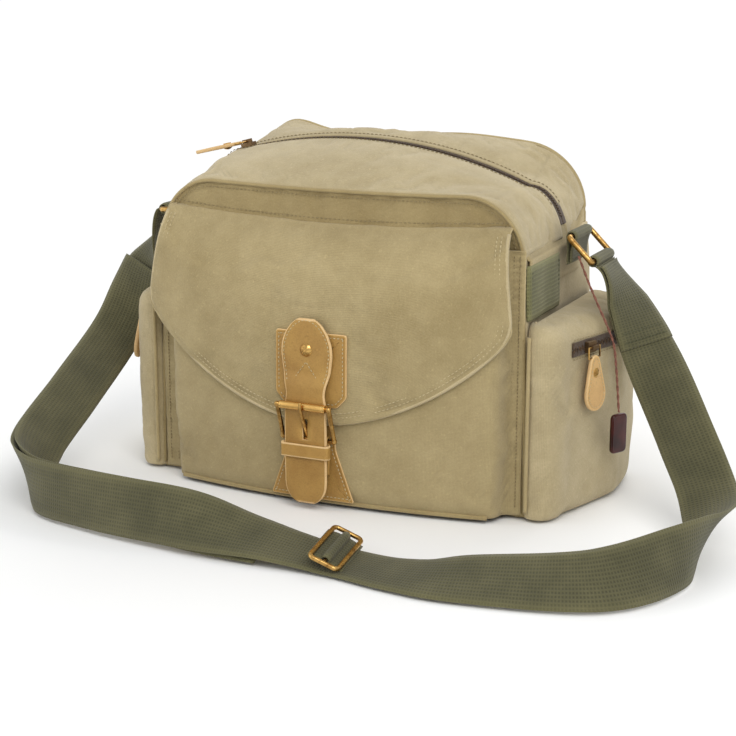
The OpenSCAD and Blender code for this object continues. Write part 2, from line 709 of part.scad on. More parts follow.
function catmull_rom(a, b, c, d, t) =
    0.5*((2*b) + (c - a)*t + (2*a - 5*b + 4*c - d)*t*t + (3*b - a - 3*c + d)*t*t*t);
function station(i) = STATIONS[clamp(i, 0, last)];
function along(u) = let (i = floor(u))
    catmull_rom(station(i-1), station(i), station(i+1), station(i+2), u - i);
function xyz(q) = [q[0], q[1], q[2]];
// directions along the strap and across its width
function path_tangent(u) = unit(xyz(along(min(u + 0.02, last))) - xyz(along(max(u - 0.02, 0))));
function path_across(u) =
    let (tangent = path_tangent(u), level = unit(cross(tangent, [0, 0, 1])), lean = along(u)[3])
    cross(level, tangent)*cos(lean) + level*sin(lean);
// the lower edge never goes below the ground; where the strap is double the
// return layer lies underneath, so the outer layer rides higher
function return_room(u, normal_z) =
    (web_t + return_gap)*abs(normal_z)*clamp((double_end - u)/0.8, 0, 1);
function path_centre(u) =
    let (q = along(u), across = path_across(u), normal = cross(path_tangent(u), across),
        lowest = web_width/2*abs(across[2]) + web_t/2 + 0.4 + return_room(u, normal[2]))
    [q[0], q[1], max(q[2], lowest)];

// ribbon between two stations, moved off its centre surface by off
module ribbon(from, to, width, off = 0) {
    n = ceil((to - from)*strap_steps);
    points = [for (k = [0:n])
        let (u = from + (to - from)*k/n, across = path_across(u),
            normal = cross(path_tangent(u), across), centre = path_centre(u) + normal*off,
            w = across*width/2, t = normal*web_t/2)
        each [centre - w - t, centre + w - t, centre + w + t, centre - w + t]];
    walls = [for (k = [0:n-1]) for (j = [0:3])
        let (a = 4*k + j, b = 4*k + (j + 1)%4)
        each (j < 2 ? [[b + 4, b, a], [a + 4, b + 4, a]] : [[a + 4, b, a], [a + 4, b + 4, b]])];
    ends = [[1, 2, 3], [0, 1, 3], [4*n + 2, 4*n + 1, 4*n], [4*n + 3, 4*n + 2, 4*n]];
    polyhedron(points, concat(walls, ends), convexity = 10);
}
// webbing turned round the outer bar of a ring
module web_loop(side) {
    bar = on_ring(side, 2*ring_half);
    translate([bar[0], strap_y - web_width/2, bar[1]]) rotate([-90, 0, 0])
        tube(sleeve_r + web_t, sleeve_r, web_width, 40);
}
module shoulder_strap() {
    color(olive) {
        ribbon(0, last, web_width);
        web_loop(1);
        web_loop(-1);
    }
}
module strap_return() { color(olive) ribbon(1, 8.2, web_width - 0.6, -web_t - return_gap); }

// ---------- rings and their tabs ----------
module ring(side) {
    centre = on_ring(side, ring_half);
    color(brass) translate([centre[0], strap_y, centre[1]]) rotate([0, side*tilt(side), 0])
        wire_frame(wire_r = ring_wire/2, half_x = ring_half, half_y = ring_inside/2 + ring_wire/2,
            bend_r = 2.6, bar_fn = 32, bend_fn = 48, wire_fn = 32);
}
module ring_left() { ring(-1); }
module ring_right() { ring(1); }
module ring_tab(side) {
    tab_y = strap_y - web_width/2 + 1;
    color(olive) on_side(side) difference() {
        union() {
            translate([tab_bar[0], tab_y, tab_bar[1]]) rotate([-90, 0, 0])
                cylinder(r = sleeve_r + 2.4, h = web_width - 2, $fn = 40);
            translate([141.3, tab_y, 160]) cube([4.4, web_width - 2, 19.8]);
        }
        translate([tab_bar[0], -40, tab_bar[1]]) rotate([-90, 0, 0])
            cylinder(r = sleeve_r, h = 80, $fn = 40);
    }
}
module ring_tab_left() { ring_tab(-1); }
module ring_tab_right() { ring_tab(1); }

// ---------- sliding adjuster on the front run ----------
adjuster_at = [61.9, -198.6, 11.2];
adjuster_half = 21.5;
module adjuster_place() {
    translate(adjuster_at) rotate([5.7, 0, 4.5]) rotate([0, 22, 0]) children();
}
module strap_slider() {
    color(brass) adjuster_place() {
        wire_frame(wire_r = 1.5, half_x = 9.5, half_y = adjuster_half,
            bend_r = 3, bar_fn = 28, bend_fn = 40, wire_fn = 24);
        translate([0, -adjuster_half, 0]) rotate([-90, 0, 0])
            cylinder(r = 1.3, h = 2*adjuster_half, $fn = 28);
    }
}
// webbing turned round the centre bar
module strap_sewn_end() {
    color(olive) adjuster_place() difference() {
        translate([0, -web_width/2 + 0.6, 0]) rotate([-90, 0, 0])
            cylinder(r = 3.4, h = web_width - 1.2, $fn = 40);
        translate([0, -30, 0]) rotate([-90, 0, 0]) cylinder(r = 1.4, h = 60, $fn = 32);
    }
}

// ---------- hang tag ----------
tag_top = [184.5, -21.6, 66.2];
tag_half = [7, 13.6];
tag_corner_r = 2.5;
tag_t = 3.5;
// x, y, z along the cord, from the right ring down to the tag
CORD = [[153.6, -22.2, 168.6], [168, -22.5, 137], [179.5, -21, 112], tag_top];

module rod(from, to, r) {
    span = to - from;
    length = norm(span);
    translate(from) rotate([0, acos(span[2]/length), atan2(span[1], span[0])])
        cylinder(r = r, h = length, $fn = 16);
}
module tag_cord() {
    color(cord_brown) {
        for (i = [0:2]) rod(CORD[i], CORD[i+1], 0.8);
        for (i = [1:2]) translate(CORD[i]) sphere(r = 0.95, $fn = 16);
    }
}
module hang_tag() {
    corner = tag_half - [tag_corner_r, tag_corner_r];
    // x sign, z sign and first angle of each rounded corner
    corners = [[1, 1, 0], [-1, 1, 90], [-1, -1, 180], [1, -1, 270]];
    color(tag_red) translate(tag_top - [0, 0, 14.6]) rotate([0, 0, 62]) difference() {
        upright(-tag_t/2, tag_t)
            polygon([for (q = corners)
                each arc([q[0]*corner[0], q[1]*corner[1]], tag_corner_r, q[2], q[2] + 90, 6)]);
        translate([0, 5, 9.8]) rotate([90, 0, 0]) cylinder(r = 1.4, h = 10, $fn = 32);
    }
}

front_panel();
back_panel();
base_panel();
side_panel_left();
side_panel_right();
top_corner_left();
top_corner_right();
front_piping();
back_piping();
foam_front();
foam_back();
foam_sides();
foam_base();
divider();
front_pocket_face();
front_pocket_gusset();
pocket_patch();
snap_stud();
side_pocket_left();
side_pocket_right();
side_zip_left();
side_zip_right();
side_slider_left();
side_slider_right();
side_pull_left();
side_pull_right();
web_band_left();
web_band_right();
top_front_leaf();
top_back_leaf();
zip_tape_front();
zip_tape_back();
zip_end_tape();
zip_end_tab();
main_slider();
main_pull();
pull_rivets_main();
pull_rivet_left();
pull_rivet_right();
flap_seam_strip();
flap_panel();
flap_patch();
closure_strap();
closure_rivet();
buckle_frame();
buckle_roller();
buckle_prong();
keeper_loop();
chape();
snap_socket();
shoulder_strap();
strap_return();
ring_left();
ring_right();
ring_tab_left();
ring_tab_right();
strap_slider();
strap_sewn_end();
tag_cord();
hang_tag();
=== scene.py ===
"""A soft canvas camera bag with leather trim, webbing strap and brass fittings.

The bag stands on z = 0. x runs across it (right is +x), the front faces -y and z is up.
Lengths are millimetres until new_mesh() turns them into metres; lights, camera, floor
and shader distances are in metres.
"""
import math

import bmesh
import bpy
import numpy as np
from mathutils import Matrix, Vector


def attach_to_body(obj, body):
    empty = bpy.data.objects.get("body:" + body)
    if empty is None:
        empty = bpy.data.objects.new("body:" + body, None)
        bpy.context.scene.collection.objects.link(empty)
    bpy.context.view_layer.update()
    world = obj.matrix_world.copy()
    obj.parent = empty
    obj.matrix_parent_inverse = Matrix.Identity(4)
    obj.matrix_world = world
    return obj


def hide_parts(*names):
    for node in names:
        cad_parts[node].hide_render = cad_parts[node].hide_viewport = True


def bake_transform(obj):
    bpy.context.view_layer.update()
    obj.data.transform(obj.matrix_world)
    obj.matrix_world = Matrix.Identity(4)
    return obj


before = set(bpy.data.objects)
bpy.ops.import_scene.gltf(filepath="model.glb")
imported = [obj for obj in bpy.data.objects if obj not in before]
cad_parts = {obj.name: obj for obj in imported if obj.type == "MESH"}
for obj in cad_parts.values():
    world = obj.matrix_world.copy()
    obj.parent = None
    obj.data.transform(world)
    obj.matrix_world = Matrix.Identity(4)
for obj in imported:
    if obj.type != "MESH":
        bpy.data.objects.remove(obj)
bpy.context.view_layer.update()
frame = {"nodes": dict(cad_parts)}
NODES = frame["nodes"]
MM = 0.001
pi = math.pi
scene = bpy.context.scene
SIDES = ((1, "right"), (-1, "left"))
UP, DOWN = (0, 0, 1), (0, 0, -1)
FRONT, BACK = (0, -1, 0), (0, 1, 0)

# ------------------------------------------------------------------ driving sizes
HALF_W = 139.0                      # half width of the body at the base
FRONT_Y, BACK_Y = -70.0, 70.0       # front and back walls at the base
CORNER_X, CORNER_Z, CORNER_R = 92.0, 170.0, 42.0    # centre and radius of front top corners
FRONT_TOP = CORNER_Z + CORNER_R
SIDE_LEAN = 5/FRONT_TOP             # inward lean of the side walls
BACK_CORNER_X, BACK_CORNER_Z, BACK_CORNER_R = 88, 188, 43
BACK_TOP = BACK_CORNER_Z + BACK_CORNER_R
BACK_LEAN = 13/BACK_TOP             # forward lean of the back wall
BACK_CROWN = 9000                   # the back edge drops by x*x over this
ARCH_R, ARCH_TOP, ARCH_X = 340.0, 235.0, -22.0      # arc that the main zip follows
ZIP_Y = 6.0
ARCH_END = 108                      # beyond this x the zip turns down

POCKET_CY = 513.0                   # centre y of the arcs of the bulging front pocket
POCKET_R = 616
POCKET_L, POCKET_RT = -117.5, 124.5     # left and right walls of the front pocket
POCKET_BACK_Y = -72.6
FOLD_Z, ROLL_LEN = 188.0, 19.0      # where the flap turns over, and how fast the turn dies out
FLAP_HALF = 133.6

SLANT = math.radians(16)            # slant of the side pocket flanks
FLANK_START = np.array([161, -56])
FLANK_ALONG = np.array([math.sin(SLANT), math.cos(SLANT)])
FLANK_OUT = np.array([math.cos(SLANT), -math.sin(SLANT)])
SIDE_ZIP_Z = 113
ZIP_PITCH = 1.9
CLOSURE_X = -2.0                    # middle of the closure strap

# centre of the leg of each D ring that carries webbing (right side; mirrored for the left)
RING_X = 153.5 - 11*math.cos(pi/4)
RING_Z = 172 + 11*math.sin(pi/4)
RING_TILT = {1: math.radians(45), -1: math.radians(4)}


# ------------------------------------------------------------------ noise and curve helpers
def value_noise(p, seed):
    cell = np.floor(p).astype(np.int64)
    f = p - cell
    f = f*f*(3 - 2*f)

    def lattice(a, b, c):
        n = (a*374761393 + b*668265263 + c*1440662683 + seed*974711) & 0xffffffff
        n = ((n ^ (n >> 13))*1274126177) & 0xffffffff
        return ((n ^ (n >> 16)) & 0xffff)/32767.5 - 1

    total = 0
    for a in (0, 1):
        for b in (0, 1):
            for c in (0, 1):
                weight = ((f[..., 0] if a else 1 - f[..., 0])
                          * (f[..., 1] if b else 1 - f[..., 1])
                          * (f[..., 2] if c else 1 - f[..., 2]))
                total = total + weight*lattice(cell[..., 0] + a, cell[..., 1] + b,
                                               cell[..., 2] + c)
    return total


def points(x, y, z):
    """array of points from coordinates that broadcast together"""
    return np.stack(np.broadcast_arrays(x, y, z), -1)


def fbm(x, y, z, octaves, seed):
    """layered noise; each octave is twice as fine and half as strong"""
    p = points(x, y, z).astype(float)
    return sum(value_noise(p*2**k, seed + k*17)*0.5**k for k in range(octaves))


def smoothstep(low, high, x):
    t = np.clip((np.asarray(x, float) - low)/(high - low), 0, 1)
    return t*t*(3 - 2*t)


def unit(v):
    return v/(np.linalg.norm(v, axis=-1, keepdims=True) + 1e-9)


def tangents(line):
    return unit(np.gradient(line, axis=0))


def arc_len(line):
    """running length at each point of a polyline"""
    return np.concatenate([[0], np.cumsum(np.linalg.norm(np.diff(line, axis=0), axis=1))])


def points_at(line, where, lengths=None):
    lengths = arc_len(line) if lengths is None else lengths
    return np.stack([np.interp(where, lengths, column) for column in line.T], 1)


def resample(line, step):
    line = np.asarray(line, float)
    length = arc_len(line)[-1]
    return points_at(line, np.linspace(0, length, max(2, int(length/step) + 1)))


def smooth(line, times):
    """soften a polyline in place, ends held"""
    for _ in range(times):
        line[1:-1] = (line[:-2] + 2*line[1:-1] + line[2:])/4
    return line


def densify(outline, rounding=2):
    """closed outline with even points and slightly rounded corners"""
    closed = np.vstack([outline, outline[:1]]).astype(float)
    length = arc_len(closed)[-1]
    ring = points_at(closed, np.linspace(0, length, int(length/1.3), endpoint=False))
    for _ in range(rounding):
        ring = (np.roll(ring, 1, 0) + 2*ring + np.roll(ring, -1, 0))/4
    return ring


def offset_poly(outline, inset):
    """move a counter-clockwise outline inward"""
    edge = unit(np.roll(outline, -1, 0) - outline)
    normal = np.stack([-edge[:, 1], edge[:, 0]], 1)
    bisector = unit(normal + np.roll(normal, 1, 0))
    cosine = np.clip((bisector*normal).sum(1), 0.5, 1)
    return outline + bisector*(inset/cosine)[:, None]


def both_halves(left, top):
    """left side going up, then the top, then the mirrored left side going down"""
    left = np.array(left)
    return np.vstack([left, top, left[::-1]*(-1, 1)])


def rotation(axis, degrees):
    i, j = {"x": (1, 2), "y": (2, 0), "z": (0, 1)}[axis]
    c, s = math.cos(math.radians(degrees)), math.sin(math.radians(degrees))
    matrix = np.eye(3)
    matrix[i, i] = matrix[j, j] = c
    matrix[j, i], matrix[i, j] = s, -s
    return matrix


# ------------------------------------------------------------------ materials
def tone(rgb, gain=1.0):
    """sRGB 0-255, brightened or darkened, as linear RGBA"""
    channels = [min(255, v*gain)/255 for v in rgb]
    return tuple(v/12.92 if v <= 0.04045 else ((v + 0.055)/1.055)**2.4
                 for v in channels) + (1,)


class Shader:
    def __init__(self, name):
        self.mat = bpy.data.materials.new(name)
        self.mat.use_nodes = True
        self.tree = self.mat.node_tree
        self.surface = self.tree.nodes["Principled BSDF"]

    def node(self, kind, **settings):
        node = self.tree.nodes.new(kind)
        for key, value in settings.items():
            setattr(node, key, value)
        return node

    def feed(self, socket, value):
        if hasattr(value, "is_output"):
            self.tree.links.new(value, socket)
        else:
            socket.default_value = value

    def math(self, operation, a, b):
        node = self.node("ShaderNodeMath", operation=operation)
        self.feed(node.inputs[0], a)
        self.feed(node.inputs[1], b)
        return node.outputs[0]

    def invert(self, value):
        return self.math("SUBTRACT", 1.0, value)

    def weighted(self, *terms):
        """sum of (value, weight) pairs"""
        parts = [self.math("MULTIPLY", value, weight) for value, weight in terms]
        total = parts[0]
        for part in parts[1:]:
            total = self.math("ADD", total, part)
        return total

    def vary(self, value, base, spread):
        return self.math("ADD", self.math("MULTIPLY", value, spread), base)

    def mix(self, factor, a, b):
        node = self.node("ShaderNodeMix", data_type="RGBA")
        self.feed(node.inputs["Factor"], factor)
        self.feed(node.inputs[6], a)
        self.feed(node.inputs[7], b)
        return node.outputs[2]

    def tint(self, colour, other, mask, amount):
        return self.mix(self.math("MULTIPLY", mask, amount), colour, other)

    def coords(self, kind="Object"):
        return self.node("ShaderNodeTexCoord").outputs[kind]

    def noise(self, vector, scale, detail, rough=0.55):
        node = self.node("ShaderNodeTexNoise")
        self.feed(node.inputs["Vector"], vector)
        node.inputs["Scale"].default_value = scale
        node.inputs["Detail"].default_value = detail
        node.inputs["Roughness"].default_value = rough
        return node.outputs["Fac"]

    def remap(self, value, low, high):
        node = self.node("ShaderNodeMapRange")
        self.feed(node.inputs[0], value)
        node.inputs[1].default_value = low
        node.inputs[2].default_value = high
        return node.outputs[0]

    def patches(self, vector, scale, detail, low, high, rough=0.55):
        """noise with its contrast raised"""
        return self.remap(self.noise(vector, scale, detail, rough), low, high)

    def wave(self, vector, direction, period, distortion):
        node = self.node("ShaderNodeTexWave", bands_direction=direction)
        self.feed(node.inputs["Vector"], vector)
        node.inputs["Scale"].default_value = 2*pi/(20*period)
        node.inputs["Distortion"].default_value = distortion
        return node.outputs["Fac"]

    def cells(self, vector, scale):
        node = self.node("ShaderNodeTexVoronoi")
        self.feed(node.inputs["Vector"], vector)
        node.inputs["Scale"].default_value = scale
        return node.outputs["Distance"]

    def edges(self, low, high):
        """0 in hollows to 1 on raised edges"""
        pointiness = self.node("ShaderNodeNewGeometry").outputs["Pointiness"]
        return self.remap(pointiness, low, high)

    def bump(self, height, distance, strength, normal=None):
        node = self.node("ShaderNodeBump")
        self.feed(node.inputs["Height"], height)
        node.inputs["Distance"].default_value = distance
        node.inputs["Strength"].default_value = strength
        if normal is not None:
            self.feed(node.inputs["Normal"], normal)
        return node.outputs[0]

    def finish(self, colour, rough, normal=None, metal=0.0, sheen=0.0, coat=0.0, spec=0.5):
        inputs = self.surface.inputs
        self.feed(inputs["Base Color"], colour)
        self.feed(inputs["Roughness"], rough)
        inputs["Metallic"].default_value = metal
        inputs["Sheen Weight"].default_value = sheen
        inputs["Sheen Roughness"].default_value = 0.6
        inputs["Coat Weight"].default_value = coat
        inputs["Specular IOR Level"].default_value = spec
        if normal is not None:
            self.feed(inputs["Normal"], normal)
        return self.mat


def canvas(name, light, dark, thread=0.0009, edge_wear_and_highlight=0.2):
    """woven cloth: thread is the weave period; the last argument lightens raised edges, partly
    as edge wear and partly as a painted highlight
    """
    g = Shader(name)
    body, cloth = g.coords("Object"), g.coords("UV")
    big = g.patches(body, scale=13, detail=4, low=0.38, high=0.62)
    mid = g.patches(body, scale=68, detail=5, rough=0.62, low=0.37, high=0.63)
    fine = g.patches(body, scale=950, detail=2, low=0.3, high=0.7)
    colour = g.mix(g.weighted((big, 0.42), (mid, 0.3), (fine, 0.28)), tone(dark), tone(light))
    weave = g.math("MAXIMUM", g.wave(cloth, "X", period=thread, distortion=0.6),
                   g.wave(cloth, "Y", period=thread, distortion=0.6))
    colour = g.tint(colour, tone(dark, gain=0.62), g.invert(weave), amount=0.35)
    slubs = g.patches(cloth, scale=420, detail=1, low=0.62, high=0.8)
    colour = g.tint(colour, tone(light, gain=1.16), slubs, amount=0.25)
    # raised edges lightened: partly edge wear, partly a painted highlight
    colour = g.tint(colour, tone(light, gain=1.13), g.edges(low=0.505, high=0.56), amount=edge_wear_and_highlight)
    # painted shade: darker colour in the hollows and creases of the cloth
    hollows = g.invert(g.edges(low=0.42, high=0.497))
    colour = g.tint(colour, tone(dark, gain=0.6), hollows, amount=0.5)
    normal = g.bump(weave, distance=0.00022, strength=0.55)
    normal = g.bump(fine, distance=0.00028, strength=0.5, normal=normal)
    dents = g.noise(body, scale=60, detail=3)
    normal = g.bump(dents, distance=0.0013, strength=0.65, normal=normal)
    swells = g.noise(body, scale=17, detail=2)
    normal = g.bump(swells, distance=0.004, strength=0.5, normal=normal)
    return g.finish(colour, g.vary(mid, base=0.82, spread=0.1), normal, sheen=0.18, spec=0.2)


def webbing(name, light, dark):
    g = Shader(name)
    cloth, body = g.coords("UV"), g.coords("Object")
    ribs = g.math("MAXIMUM", g.wave(cloth, "X", period=0.0019, distortion=0.4),
                  g.wave(cloth, "Y", period=0.0026, distortion=0.3))
    mottle = g.weighted((g.patches(body, scale=35, detail=3, low=0.35, high=0.65), 0.6),
                        (g.noise(body, scale=700, detail=2), 0.4))
    colour = g.mix(mottle, tone(dark), tone(light))
    colour = g.tint(colour, tone(dark, gain=0.5), g.invert(ribs), amount=0.55)
    colour = g.tint(colour, tone(light, gain=1.25), g.edges(low=0.51, high=0.58), amount=0.4)
    normal = g.bump(ribs, distance=0.0004, strength=0.8)
    fuzz = g.noise(body, scale=900, detail=2)
    normal = g.bump(fuzz, distance=0.0002, strength=0.5, normal=normal)
    return g.finish(colour, 0.8, normal, sheen=0.12, spec=0.25)


def leather(name, light, dark, rough=0.5):
    g = Shader(name)
    body = g.coords()
    mottle = g.weighted((g.patches(body, scale=45, detail=4, low=0.33, high=0.67), 0.65),
                        (g.noise(body, scale=420, detail=3), 0.35))
    colour = g.mix(mottle, tone(dark), tone(light))
    grain = g.cells(body, scale=1150)
    creases = g.remap(grain, low=0.55, high=0.9)
    colour = g.tint(colour, tone(dark, gain=0.7), creases, amount=0.22)
    scuffs = g.patches(body, scale=160, detail=5, rough=0.75, low=0.62, high=0.72)
    colour = g.tint(colour, tone(light, gain=1.15), scuffs, amount=0.25)
    colour = g.tint(colour, tone(light, gain=1.2), g.edges(low=0.51, high=0.6), amount=0.5)
    normal = g.bump(grain, distance=0.00022, strength=0.6)
    pores = g.noise(body, scale=260, detail=4)
    normal = g.bump(pores, distance=0.0004, strength=0.5, normal=normal)
    return g.finish(colour, g.vary(mottle, base=rough, spread=0.15), normal, spec=0.4)


def metal(name, light, dark, rough):
    g = Shader(name)
    body = g.coords()
    tarnish = g.patches(body, scale=190, detail=5, rough=0.7, low=0.42, high=0.66)
    colour = g.mix(tarnish, tone(light), tone(dark))
    colour = g.mix(g.invert(g.edges(low=0.4, high=0.5)), colour, tone(dark, gain=0.5))
    colour = g.tint(colour, tone(light, gain=1.2), g.edges(low=0.52, high=0.6), amount=0.6)
    normal = g.bump(g.noise(body, scale=1500, detail=3), distance=0.00008, strength=0.6)
    return g.finish(colour, g.vary(tarnish, base=rough, spread=0.25), normal, metal=1.0)


def plain(name, light, dark, scale, rough, relief=0.0001, coat=0.0, spec=0.5):
    g = Shader(name)
    body = g.coords()
    mottle = g.patches(body, scale=scale, detail=4, low=0.35, high=0.65)
    colour = g.mix(mottle, tone(dark), tone(light))
    normal = g.bump(g.noise(body, scale=scale*4, detail=3), distance=relief, strength=0.6)
    return g.finish(colour, rough, normal, coat=coat, spec=spec)


CANVAS = canvas("canvas", light=(183, 165, 122), dark=(153, 135, 92))
# lighter copy of the canvas for the top, sides, side pockets and flap edge: partly painted
# light and sheen on these up- and side-facing pieces, partly a sun-bleached tone
CANVAS_PAINTED_LIT = canvas("canvas_painted_lit", light=(195, 179, 141), dark=(166, 149, 110))
# painted shade: darker copy of the canvas for the front panel, base, front seam roll and
# pocket foot roll, where shade falls
CANVAS_PAINTED_SHADE = canvas("canvas_painted_shade", light=(172, 153, 108), dark=(142, 123, 80))
canvas("lining", light=(132, 121, 98), dark=(104, 95, 76), thread=0.0007)   # on no piece yet
WEBBING = webbing("webbing", light=(101, 97, 67), dark=(75, 73, 48))
WEBBING_BAND = webbing("webbing_band", light=(124, 121, 82), dark=(94, 93, 58))
LEATHER = leather("leather", light=(181, 143, 76), dark=(150, 111, 53))
LEATHER_PALE = leather("leather_light", light=(218, 180, 122), dark=(194, 151, 93))
RAW_EDGE = leather("leather_edge", light=(220, 186, 136), dark=(188, 148, 98), rough=0.7)
BRASS = metal("brass", light=(206, 166, 98), dark=(142, 104, 54), rough=0.26)
DARK_BRASS = metal("dark_brass", light=(118, 96, 70), dark=(62, 48, 36), rough=0.34)
ZIP_TAPE = canvas("zip_tape", light=(88, 68, 48), dark=(60, 44, 30), thread=0.0007, edge_wear_and_highlight=0.12)
ZIP_COIL = plain("zip_coil", light=(96, 74, 52), dark=(50, 37, 26), scale=500, rough=0.55,
                 spec=0.25)
THREAD = plain("thread", light=(206, 191, 152), dark=(178, 162, 122), scale=900, rough=0.7)
THREAD_DARK = plain("thread_dark", light=(150, 134, 96), dark=(120, 105, 72), scale=900,
                    rough=0.75)
THREAD_OLIVE = plain("thread_olive", light=(92, 94, 66), dark=(64, 66, 46), scale=900,
                     rough=0.75)
CORD = plain("cord", light=(150, 98, 78), dark=(104, 62, 50), scale=700, rough=0.65,
             relief=0.0003)
TAG = plain("tag", light=(74, 18, 10), dark=(40, 8, 5), scale=60, rough=0.3, coat=0.25,
            spec=0.25)
PADDING = canvas("padding", light=(122, 116, 104), dark=(92, 87, 78), thread=0.0012)
HIDE = (LEATHER, RAW_EDGE)
PALE_HIDE = (LEATHER_PALE, RAW_EDGE)


# ------------------------------------------------------------------ mesh helpers
def new_mesh(name, verts, faces, mats, uv=None, face_mats=None):
    """verts in mm, uv in metres per vertex"""
    mesh = bpy.data.meshes.new(name)
    mesh.from_pydata((np.asarray(verts, float)*MM).tolist(), [],
                     [tuple(int(k) for k in face) for face in faces])
    if uv is not None:
        layer = mesh.uv_layers.new(name="UVMap")
        corner = np.empty(len(mesh.loops), dtype=np.int32)
        mesh.loops.foreach_get("vertex_index", corner)
        layer.data.foreach_set("uv", np.asarray(uv, np.float32)[corner].ravel())
    for mat in (mats if isinstance(mats, tuple) else (mats,)):
        mesh.materials.append(mat)
    if face_mats is not None:
        mesh.polygons.foreach_set("material_index", np.asarray(face_mats, np.int32))
    mesh.polygons.foreach_set("use_smooth", [True]*len(mesh.polygons))
    bm = bmesh.new()
    bm.from_mesh(mesh)
    bmesh.ops.recalc_face_normals(bm, faces=bm.faces)
    bm.to_mesh(mesh)
    bm.free()
    mesh.update()
    obj = bpy.data.objects.new(name, mesh)
    scene.collection.objects.link(obj)
    return obj


def ring_faces(rings, sides, start=0, cap_dir=1):
    """walls between successive rings of vertices, then the two end caps"""
    faces = []
    for i in range(rings - 1):
        a = start + i*sides
        for k in range(sides):
            n = (k + 1) % sides
            faces.append((a + k, a + n, a + sides + n, a + sides + k))
    last = start + (rings - 1)*sides
    faces.append(tuple(range(start, start + sides))[::-cap_dir])
    faces.append(tuple(range(last, last + sides))[::cap_dir])
    return faces


def outward_normals(P, facing):
    """grid normals, turned so that the middle one looks along facing"""
    n = unit(np.cross(np.gradient(P, axis=0), np.gradient(P, axis=1)))
    return n if n[P.shape[0]//2, P.shape[1]//2] @ np.array(facing) > 0 else -n


def shell(name, P, thick, mats, facing):
    """closed shell with a rounded rim; the grid P (nu, nv, 3) is its outer surface"""
    nu, nv, _ = P.shape
    inner = P - outward_normals(P, facing)*thick
    count = nu*nv
    idx = np.arange(count).reshape(nu, nv)
    a, b = idx[:-1, :-1].ravel(), idx[1:, :-1].ravel()
    c, d = idx[1:, 1:].ravel(), idx[:-1, 1:].ravel()
    faces = list(zip(a, b, c, d)) + list(zip(d + count, c + count, b + count, a + count))
    border = np.concatenate([idx[:-1, 0], idx[-1, :-1], idx[:0:-1, -1], idx[0, :0:-1]])
    inside = np.concatenate([idx[:-1, 1], idx[-2, :-1], idx[:0:-1, -2], idx[1, :0:-1]])
    outer, inner = P.reshape(-1, 3), inner.reshape(-1, 3)
    away = unit(outer[border] - outer[inside])
    rim = (outer[border] + inner[border])/2 + away*thick*0.3
    for i in range(len(border)):
        j = (i + 1) % len(border)
        ri, rj = 2*count + i, 2*count + j
        faces.append((border[i], border[j], rj, ri))
        faces.append((ri, rj, border[j] + count, border[i] + count))

    def run(axis):
        steps = np.linalg.norm(np.diff(P, axis=axis), axis=2).mean(1 - axis)
        return np.concatenate([[0], np.cumsum(steps)])*MM

    uv = np.stack(np.meshgrid(run(0), run(1), indexing="ij"), 2).reshape(-1, 2)
    obj = new_mesh(name, np.vstack([outer, inner, rim]), faces, mats,
                   np.vstack([uv, uv, uv[border]]))
    obj["n_outer"] = count
    obj["nu"] = nu
    obj["nv"] = nv
    return obj


def puff(obj, cap, pressure, frames, grow, hold=None):
    """Cloth pressure on the outer face of a shell. The border, the inner face and the
    points in hold are pinned, and no point moves further than cap (mm)."""
    count, nu, nv = obj["n_outer"], obj["nu"], obj["nv"]
    verts = obj.data.vertices
    free = np.zeros(len(verts), bool)
    free[np.arange(count).reshape(nu, nv)[2:-2, 2:-2].ravel()] = True
    if hold is not None:
        free[:count] &= ~hold.ravel()
    group = obj.vertex_groups.new(name="pin")
    group.add([int(i) for i in np.where(~free)[0]], 1.0, "REPLACE")
    cloth = obj.modifiers.new("cloth", "CLOTH")
    tuning = dict(
        quality=4, mass=0.25,
        tension_stiffness=12, compression_stiffness=12, shear_stiffness=6,
        bending_stiffness=0.4,
        use_pressure=True, uniform_pressure_force=pressure,
        vertex_group_mass="pin",
        shrink_min=-grow)       # negative shrinking lets the cloth grow
    for key, value in tuning.items():
        setattr(cloth.settings, key, value)
    cloth.settings.effector_weights.gravity = 0
    cloth.collision_settings.use_collision = False
    cloth.point_cache.frame_start = 1
    cloth.point_cache.frame_end = frames
    for number in range(1, frames + 1):
        scene.frame_set(number)
    evaluated = obj.evaluated_get(bpy.context.evaluated_depsgraph_get())
    before = np.empty(len(verts)*3)
    after = before.copy()
    verts.foreach_get("co", before)
    evaluated.to_mesh().vertices.foreach_get("co", after)
    evaluated.to_mesh_clear()
    before, after = before.reshape(-1, 3), after.reshape(-1, 3)
    obj.modifiers.remove(cloth)
    obj.vertex_groups.remove(group)
    move = after - before
    length = np.linalg.norm(move, axis=1, keepdims=True)
    limit = cap*MM
    move = np.where(np.isfinite(move), move, 0)*(limit*np.tanh(length/limit)/(length + 1e-12))
    verts.foreach_set("co", (before + move).ravel())
    obj.data.update()
    scene.frame_set(1)


def tube(name, line, radius, mat, sides):
    line = np.asarray(line, float)
    along = tangents(line)
    run = arc_len(line)
    ref = np.array([0, 0, 1.0]) if abs(along[0][2]) < 0.9 else np.array([1.0, 0, 0])
    u = unit(np.cross(along[0], ref))
    verts, uv = [], []
    for i, point in enumerate(line):
        u = unit(u - along[i]*(u @ along[i]))
        w = np.cross(along[i], u)
        for k in range(sides):
            a = 2*pi*k/sides
            verts.append(point + (u*math.cos(a) + w*math.sin(a))*radius)
            uv.append((run[i]*MM, a*radius*MM))
    return new_mesh(name, verts, ring_faces(len(line), sides), mat, uv)


